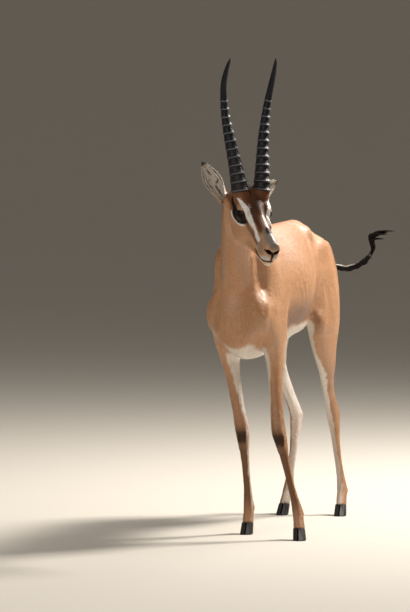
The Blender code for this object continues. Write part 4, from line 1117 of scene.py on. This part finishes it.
def leg_colours(points, normals):
    """Brown outside and in front, white inside, with dark carpal patches and paler shanks."""
    places = to_body(points)
    x, y, z = places.T
    fore = y < 0
    side = np.where(x > 0, 1.0, -1.0)
    rough = 0.12 * wobble(points, 0.005, 2)
    inner = -normals[:, 0] * side + rough
    front = -normals[:, 1] + rough
    upper = smooth_step(z, 0.335, 0.37)
    narrowed = inner - 0.40 * (1 - smooth_step(z, 0.36, 0.50))
    fore_white = upper * smooth_step(narrowed, 0.28, 0.50)
    fore_white += (1 - upper) * 0.6 * smooth_step(inner, 0.80, 0.97)
    lower = 1 - smooth_step(z, 0.43, 0.51)
    behind = smooth_step(-front, 0.2, 0.8) * smooth_step(z, 0.40, 0.52)
    shown = inner + (0.9 * lower - 0.1) * front + 0.55 * lower * smooth_step(z, 0.33, 0.37) + 0.15 * behind
    hind_white = smooth_step(shown, 0.0, 0.3) * (0.75 + 0.25 * smooth_step(z, 0.28, 0.34))
    low = 1 - smooth_step(z, 0.24, 0.27)
    fore_dark = smooth_step(front, 0.15, 0.65) * low * smooth_step(z, 0.05, 0.12)
    patch = bell(z - CARPUS_Z, 0.026) * smooth_step(front, 0.45, 0.75) * fore
    return washed(np.tile(TAN * 0.80, (len(points), 1)), (
        (TAN, smooth_step(z, 0.38, 0.52)),
        (FLANK_BROWN * 0.8, 0.85 * fore_dark * fore),
        (CREAM, 0.45 * smooth_step(-front, 0.2, 0.8) * low),
        # the legs' inner white is the darkened white of painted shade
        (SHADED_BELLY_WHITE, np.where(fore, fore_white, hind_white)),
        (BLACK * 1.5, np.clip(1.2 * patch, 0, 1) * 0.88),
    ))


def tail_colours(points, normals):
    """Pale on top as a painted highlight, black below and behind."""
    places = to_body(points)
    colours = np.tile(BLACK * 2, (len(points), 1))
    # painted highlight: the upward-facing top of the tail is made pale
    top = smooth_step(normals[:, 2] + 0.15 * wobble(points, 0.004, 3), 0.62, 0.92)
    colours = mixed(colours, CREAM, 0.9 * top * (1 - smooth_step(places[:, 0], 0.10, 0.14)))
    return mixed(colours, WHITE, 1 - smooth_step(places[:, 0], 0.010, 0.022))


def markings(points, normals, regions):
    """The coat's colours at places with normals and regions."""
    painters = {"head": head_colours, "ear": ear_colours, "tail": tail_colours, "leg": leg_colours,
                "shank": leg_colours}
    colours = body_colours(points, normals)
    for name, painter in painters.items():
        own = in_regions(regions, name)
        colours[own] = painter(points[own], normals[own])
    return colours


# The coat, by region: spacing of tufts, their length and half width, and the angle by which they lift.
TUFTS = {"torso": (0.0041, 0.0120, 0.00090, 0.034), "neck": (0.0037, 0.0105, 0.00085, 0.034),
         "head": (0.0020, 0.0042, 0.00042, 0.055), "ear": (0.0019, 0.0040, 0.00040, 0.05),
         "tail": (0.0024, 0.0100, 0.00070, 0.12), "leg": (0.0029, 0.0080, 0.00062, 0.036),
         "shank": (0.0027, 0.0062, 0.00054, 0.05)}
PIECE_TUFTS = 18000
TUFT_THICKNESS, TUFT_BLEND = 0.16, 0.8  # against its width, and how far it is shaded like the skin
TUFT_PLACES = (-0.04, 0.5, 1.0)  # of a tuft's three sections, along it
TUFT_RISES = (-0.35, 0.75, 1.0)  # against its whole rise
TUFT_WIDTHS = (0.55, 1.0, 0.0)
TUFT_TONES = (0.97, 1.0, 1.05)
TUFT_SINK = 0.0004  # of a root under the skin
TURN_SPREAD, TONE_SPREAD = 0.13, 0.06


def flow(skin, normals):
    """Which way the hair lies at each point of the skin."""
    places = to_body(skin.points)
    _, back, up = HEAD_AXES
    ways = np.zeros_like(places)
    own = {name: in_regions(skin.region, name) for name in ORDER}
    ways[own["torso"]] = (0.0, 1.0, -0.32)
    chest = smooth_step(-normals[:, 1], 0.2, 0.9)[:, None]
    ways += own["torso"][:, None] * chest * np.array((0.0, 0.0, -1.6))
    ways[own["neck"]] = (-0.10, 0.42, -0.90)
    ways[own["head"]] = back - 0.25 * up
    ways[own["leg"] | own["shank"]] = (0.0, 0.15, -1.0)
    ways[own["tail"]] = (0.8, 0.5, -0.1)
    for name, side in SIDES:
        ways[own["ear"] & ((to_head(skin.points)[:, 0] * side) > 0)] = unit(np.array(EARS[name][1]))
    ways -= normals * (ways * normals).sum(axis=1)[:, None]
    ways = relaxed(unit(ways), skin.edges, FLOW_PASSES, np.ones(len(ways)))
    ways -= normals * (ways * normals).sum(axis=1)[:, None]
    return unit(ways)


def grow_coat(skin, rng):
    """Short tufts over the whole skin, in pieces."""
    normals = skin.normals()
    ways = flow(skin, normals)
    spacing, length, width, lift = skin.by_region(TUFTS).T
    corners = skin.points[skin.triangles]
    area = length_of(np.cross(corners[:, 1] - corners[:, 0], corners[:, 2] - corners[:, 0])) / 2
    wanted = area / spacing[skin.triangles].mean(axis=1) ** 2
    count = int(wanted.sum())
    chosen = np.searchsorted(np.cumsum(wanted), rng.uniform(0, wanted.sum(), count))
    weights = rng.dirichlet((1, 1, 1), count)
    near = skin.triangles[chosen]
    roots, out, lie, sizes = ((values[near] * weights[..., None]).sum(axis=1) for values in (
        skin.points, normals, ways, np.stack([length, width, lift], axis=1)))
    out, lie = unit(out), unit(lie)
    regions = skin.region[near[np.arange(count), weights.argmax(axis=1)]]
    base = markings(roots, out, regions)
    free = away_from_openings(roots)
    lie = unit(lie + np.cross(out, lie) * rng.normal(0, TURN_SPREAD, count)[:, None])
    long = sizes[:, 0] * rng.uniform(0.7, 1.25, count) * near_nose(roots, regions)
    rise = np.sin(sizes[:, 2] * rng.uniform(0.5, 1.5, count))
    t, bend = (np.array(row)[:, None] for row in (TUFT_PLACES, TUFT_RISES))
    centres = roots[:, None] + lie[:, None] * (long[:, None, None] * t)
    centres += out[:, None] * ((long * rise)[:, None, None] * bend)
    centres[:, 0] -= out * TUFT_SINK
    widths = (sizes[:, 1] * rng.uniform(0.75, 1.25, count))[:, None] * np.array(TUFT_WIDTHS)
    lengthwise = in_regions(regions, "torso", "head")
    stretched = roots * np.where(lengthwise[:, None], (1.0, 0.3, 1.0), (1.0, 1.0, 0.3))
    streaks = 1 + 0.06 * wobble(stretched, 0.0030, 12) + 0.06 * wobble(stretched, 0.0012, 13)
    streaks += rng.normal(0, TONE_SPREAD, count)
    tone = streaks[:, None, None] * np.array(TUFT_TONES)[None, :, None]
    colours = np.clip(base[:, None] * tone, 0, 0.9)
    for label, own in piece_groups(regions, to_body(roots), free):
        piece = strands(f"coat_{label}", centres[own], widths[own], out[own], colours[own],
                        unwrapped(label, roots[own], out[own]), TUFT_THICKNESS, blend=TUFT_BLEND)
        piece.data.materials.append(look("coat"))
        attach(piece, "root")
    print("tufts", count)


def near_nose(points, regions):
    """Shorter hair towards the nose."""
    s = to_head(points)[:, 1]
    return np.where(in_regions(regions, "head"), 0.5 + 0.5 * smooth_step(s, 0.01, 0.12), 1.0)


def away_from_openings(points):
    """Where hair may grow: not on the eyes, their lids, the nostrils or the philtrum."""
    places = to_head(points)
    free = np.ones(len(points), bool)
    for _, side in SIDES:
        beyond, close = around_lids(places, side)
        free &= ~((beyond < 0.0022) & close)
    for path in (NOSTRIL, PHILTRUM):
        free &= stroke(folded(places), path, 0.3) < 0.3
    return free


def piece_groups(regions, places, free):
    """Names and members of the coat's pieces."""
    groups = []
    for index, name in enumerate(ORDER):
        own = np.flatnonzero((regions == index) & free)
        parts = max(1, math.ceil(len(own) / PIECE_TUFTS))
        own = own[np.argsort(places[own, 1], kind="stable")]
        for number, members in enumerate(np.array_split(own, parts)):
            groups.append((f"{name}_{number + 1}" if parts > 1 else name, members))
    return groups


def unwrapped(label, points, normals):
    """Where roots lie on an unwrap of their region: round a limb or the trunk, and along it."""
    region = label.split("_")[0]
    places = to_head(points) if region in ("head", "ear") else to_body(points)
    turn = np.arctan2(normals[:, 0], normals[:, 1]) / (2 * math.pi) + 0.5
    if region in ("head", "neck", "torso"):
        middle = np.median(places, axis=0)
        sheet = np.arctan2(places[:, 0] - middle[0], places[:, 2] - middle[2]) / (2 * math.pi) + 0.5
        along = places[:, 1]
    elif region in ("leg", "shank"):
        limb = 2 * (places[:, 1] > 0) + (places[:, 0] > 0)
        sheet = (limb + 0.02 + 0.96 * turn) / 4
        along = places[:, 2]
    else:
        sheet = ((places[:, 0] > 0) + 0.02 + 0.96 * turn) / 2
        along = places[:, 2] if region == "ear" else places[:, 0]
    along = (along - along.min()) / max(np.ptp(along), 1e-6)
    return 0.01 + 0.98 * np.stack([sheet, along], axis=1)


# Materials: the noise's scale, detail and stretch, how far it darkens and lightens the points' colours,
# strength and height of the relief that it gives, roughness and gloss.
LOOKS = {
    "coat": ((420, 3, (1.0, 0.35, 0.6)), (0.82, 1.16), (0.5, 0.0008), 0.48, 0.5),
    "horn": ((220, 5, (0.8, 0.8, 2.2)), (0.7, 1.35), (0.6, 0.0012), 0.45, 0.22),
    "eye": ((900, 2, (1.0, 1.0, 1.0)), (0.85, 1.2), None, 0.07, 0.11),
    "bare": ((1200, 2, (1.0, 1.0, 1.0)), (0.8, 1.3), (0.3, 0.0003), 0.32, 0.5),
    "hoof": ((300, 3, (1.0, 1.0, 0.3)), None, (0.3, 0.0005), 0.42, 0.5),
    "floor": (None, None, None, 0.9, 0.5),
}
PLAIN = {"hoof": (0.020, 0.017, 0.016, 1.0), "floor": (0.54, 0.50, 0.44, 1.0)}
HAIR_TONES, HAIR_GLOSS = (0.04, 0.25), (0.06, 0.75)  # gloss of dark and of pale hair
MATERIALS = {}


def colour_node(nodes):
    """The colours that the points carry."""
    node = nodes.new("ShaderNodeAttribute")
    node.attribute_name = "Coat"
    return node


def noise_node(nodes, links, scale, detail, stretch):
    """Noise over the object's own places, stretched."""
    place = nodes.new("ShaderNodeTexCoord")
    mapping = nodes.new("ShaderNodeMapping")
    mapping.inputs["Scale"].default_value = stretch
    noise = nodes.new("ShaderNodeTexNoise")
    noise.inputs["Scale"].default_value = scale
    noise.inputs["Detail"].default_value = detail
    links.new(place.outputs["Object"], mapping.inputs["Vector"])
    links.new(mapping.outputs["Vector"], noise.inputs["Vector"])
    return noise


def levels_node(nodes, links, value, wanted, given):
    """A value whose wanted range is spread over a given one."""
    levels = nodes.new("ShaderNodeMapRange")
    for socket, number in zip(("From Min", "From Max", "To Min", "To Max"), (*wanted, *given)):
        levels.inputs[socket].default_value = number
    links.new(value, levels.inputs["Value"])
    return levels


def shaded(nodes, links, shader, noise, low, high):
    """Let noise darken and lighten the points' colours."""
    levels = levels_node(nodes, links, noise.outputs["Fac"], (0.3, 0.7), (low, high))
    mix = nodes.new("ShaderNodeMix")
    mix.data_type = "RGBA"
    mix.blend_type = "MULTIPLY"
    mix.inputs["Factor"].default_value = 1.0
    links.new(colour_node(nodes).outputs["Color"], mix.inputs["A"])
    links.new(levels.outputs["Result"], mix.inputs["B"])
    links.new(mix.outputs["Result"], shader.inputs["Base Color"])


def bumped(nodes, links, shader, noise, strength, distance):
    """Let noise raise the surface."""
    bump = nodes.new("ShaderNodeBump")
    bump.inputs["Strength"].default_value = strength
    bump.inputs["Distance"].default_value = distance
    links.new(noise.outputs["Fac"], bump.inputs["Height"])
    links.new(bump.outputs["Normal"], shader.inputs["Normal"])


def gloss_by_tone(nodes, links, shader):
    """Let dark hair shine less than pale hair."""
    levels = levels_node(nodes, links, colour_node(nodes).outputs["Fac"], HAIR_TONES, HAIR_GLOSS)
    links.new(levels.outputs["Result"], shader.inputs["Specular IOR Level"])


def look(name):
    """A material of LOOKS, made on its first use."""
    if name in MATERIALS:
        return MATERIALS[name]
    material = MATERIALS[name] = bpy.data.materials.new(name)
    material.use_nodes = True
    nodes, links = material.node_tree.nodes, material.node_tree.links
    shader = nodes["Principled BSDF"]
    grain, tones, relief, roughness, gloss = LOOKS[name]
    noise = noise_node(nodes, links, *grain) if grain else None
    if tones:
        shaded(nodes, links, shader, noise, *tones)
    else:
        shader.inputs["Base Color"].default_value = PLAIN[name]
    if relief:
        bumped(nodes, links, shader, noise, *relief)
    shader.inputs["Roughness"].default_value = roughness
    shader.inputs["Specular IOR Level"].default_value = gloss
    if name == "coat":
        gloss_by_tone(nodes, links, shader)
    return material


CLAW_ROUNDING = (0.0012, 2, math.radians(30))  # width, segments, least angle of an edge


def dress_claws():
    """Round the claws' edges and give them their horn."""
    for node, obj in NODES.items():
        if node.startswith("claw_"):
            obj.data.shade_smooth()
            rounding = obj.modifiers.new("rounding", "BEVEL")
            rounding.width, rounding.segments, rounding.angle_limit = CLAW_ROUNDING
            rounding.harden_normals = True
            obj.data.materials.clear()
            obj.data.materials.append(look("hoof"))


# Stage, light and camera
PHOTO_WIDTH, PHOTO_HEIGHT = 410, 612
MARK_PLACE = Vector((0.0, -0.30, 0.51))  # the body place that the photo shows at MARK_PIXEL
MARK_PIXEL = (243, 361)
PIXELS_PER_METRE = 346.0
CAMERA_AZIMUTH, CAMERA_ELEVATION = 16, 3.5
CAMERA_DISTANCE = 13.0
SENSOR = 36.0
STAGE_SIDES = 96
LAMP_TARGET = Vector((0.0, 0.0, 0.75))
# Name, azimuth, elevation, distance, size, power and colour.
LAMPS = (
    ("key", 138, 46, 4.0, 0.9, 380, (1.0, 0.96, 0.90)),
    ("fill", -15, 28, 5.0, 3.5, 76, (1.0, 0.96, 0.92)),
    ("rim", 165, 50, 4.0, 1.6, 60, (1.0, 0.98, 0.95)),
)
WORLD_COLOUR, WORLD_STRENGTH = (1.0, 0.96, 0.91, 1.0), 0.30
STAGE_PROFILE = (
    (16.0, 0.0), (20.0, 0.25), (24.0, 1.3), (27.0, 3.5), (29.0, 7.0), (30.0, 12.0), (30.0, 22.0),
)


def way_to(azimuth, elevation):
    """The way from the animal to a lamp or camera."""
    a, e = math.radians(azimuth), math.radians(elevation)
    return Vector((math.sin(a) * math.cos(e), -math.cos(a) * math.cos(e), math.sin(e)))


def aimed(obj, place, target):
    """Put a lamp or camera somewhere and turn it to a target."""
    obj.location = place
    obj.rotation_mode = "QUATERNION"
    obj.rotation_quaternion = (target - place).to_track_quat("-Z", "Y")


def add_camera():
    """A camera with the photo's angle and framing."""
    back = way_to(CAMERA_AZIMUTH, CAMERA_ELEVATION)
    right = Vector((0, 0, 1)).cross(back).normalized()
    up = back.cross(right)
    mark = MARK_PLACE + Vector(BODY_ORIGIN)
    aside = (MARK_PIXEL[0] - PHOTO_WIDTH / 2) / PIXELS_PER_METRE
    below = (MARK_PIXEL[1] - PHOTO_HEIGHT / 2) / PIXELS_PER_METRE
    data = bpy.data.cameras.new("camera")
    data.sensor_width = SENSOR
    data.lens = PIXELS_PER_METRE * CAMERA_DISTANCE * SENSOR / PHOTO_HEIGHT
    data.clip_end = 100.0
    camera = linked("camera", data)
    aimed(camera, mark + back * CAMERA_DISTANCE, mark - right * aside + up * below)
    bpy.context.scene.camera = camera


def add_light(name, azimuth, elevation, distance, size, power, colour):
    """A soft square lamp that looks at the animal's middle."""
    data = bpy.data.lights.new(name, "AREA")
    data.size = size
    data.energy = power
    data.color = colour
    aimed(linked(name, data), LAMP_TARGET + way_to(azimuth, elevation) * distance, LAMP_TARGET)


def add_stage():
    """A plain pale floor whose far rim curves up out of sight."""
    sides = STAGE_SIDES
    rings = [[(r * math.cos(a), r * math.sin(a), z) for a in np.arange(sides) * 2 * math.pi / sides]
             for r, z in STAGE_PROFILE]
    points = [(0.0, 0.0, 0.0)] + [p for ring in rings for p in ring]
    faces = [(0, 1 + k, 1 + (k + 1) % sides) for k in range(sides)]
    for level in range(len(rings) - 1):
        start = 1 + level * sides
        faces += [(start + k, start + sides + k, start + sides + (k + 1) % sides, start + (k + 1) % sides)
                  for k in range(sides)]
    mesh = bpy.data.meshes.new("floor")
    mesh.from_pydata(points, [], faces)
    mesh.shade_smooth()
    floor = linked("floor", mesh)
    mesh.materials.append(look("floor"))


def add_world():
    """Even light from all round."""
    world = bpy.data.worlds.new("world")
    world.use_nodes = True
    background = world.node_tree.nodes["Background"]
    background.inputs["Color"].default_value = WORLD_COLOUR
    background.inputs["Strength"].default_value = WORLD_STRENGTH
    bpy.context.scene.world = world
    bpy.context.scene.view_settings.view_transform = "Standard"


def main():
    """Build the skin, the coat and all other pieces, then the stage and the light."""
    rng = np.random.default_rng(RANDOM_SEED)
    skin = Skin()
    skin.points = relaxed(skin.points, skin.edges, RELAX_PASSES, skin.by_region(RELAX_AMOUNT))
    skin.points -= skin.normals() * skin.by_region(COAT_DEPTH)[:, None]
    sculpt_body(skin)
    sculpt_face(skin)
    skin.thin(SKIN_TRIANGLES)
    add_colours(skin.mesh, markings(skin.points, skin.normals(), skin.region))
    surface = linked("skin", skin.mesh)
    skin.mesh.shade_smooth()
    skin.mesh.materials.append(look("coat"))
    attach(surface, "root")
    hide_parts(*FLESH)
    print("skin", len(skin.points), "points", len(skin.triangles), "triangles")
    grow_coat(skin, rng)
    for name, side in SIDES:
        add_horn(name, side, rng)
        add_eye(name, side)
        add_lid_rim(name, side)
        add_ear_hair(name, side, rng)
    add_tail_hair(rng)
    dress_claws()
    add_camera()
    add_stage()
    for lamp in LAMPS:
        add_light(*lamp)
    add_world()


main()
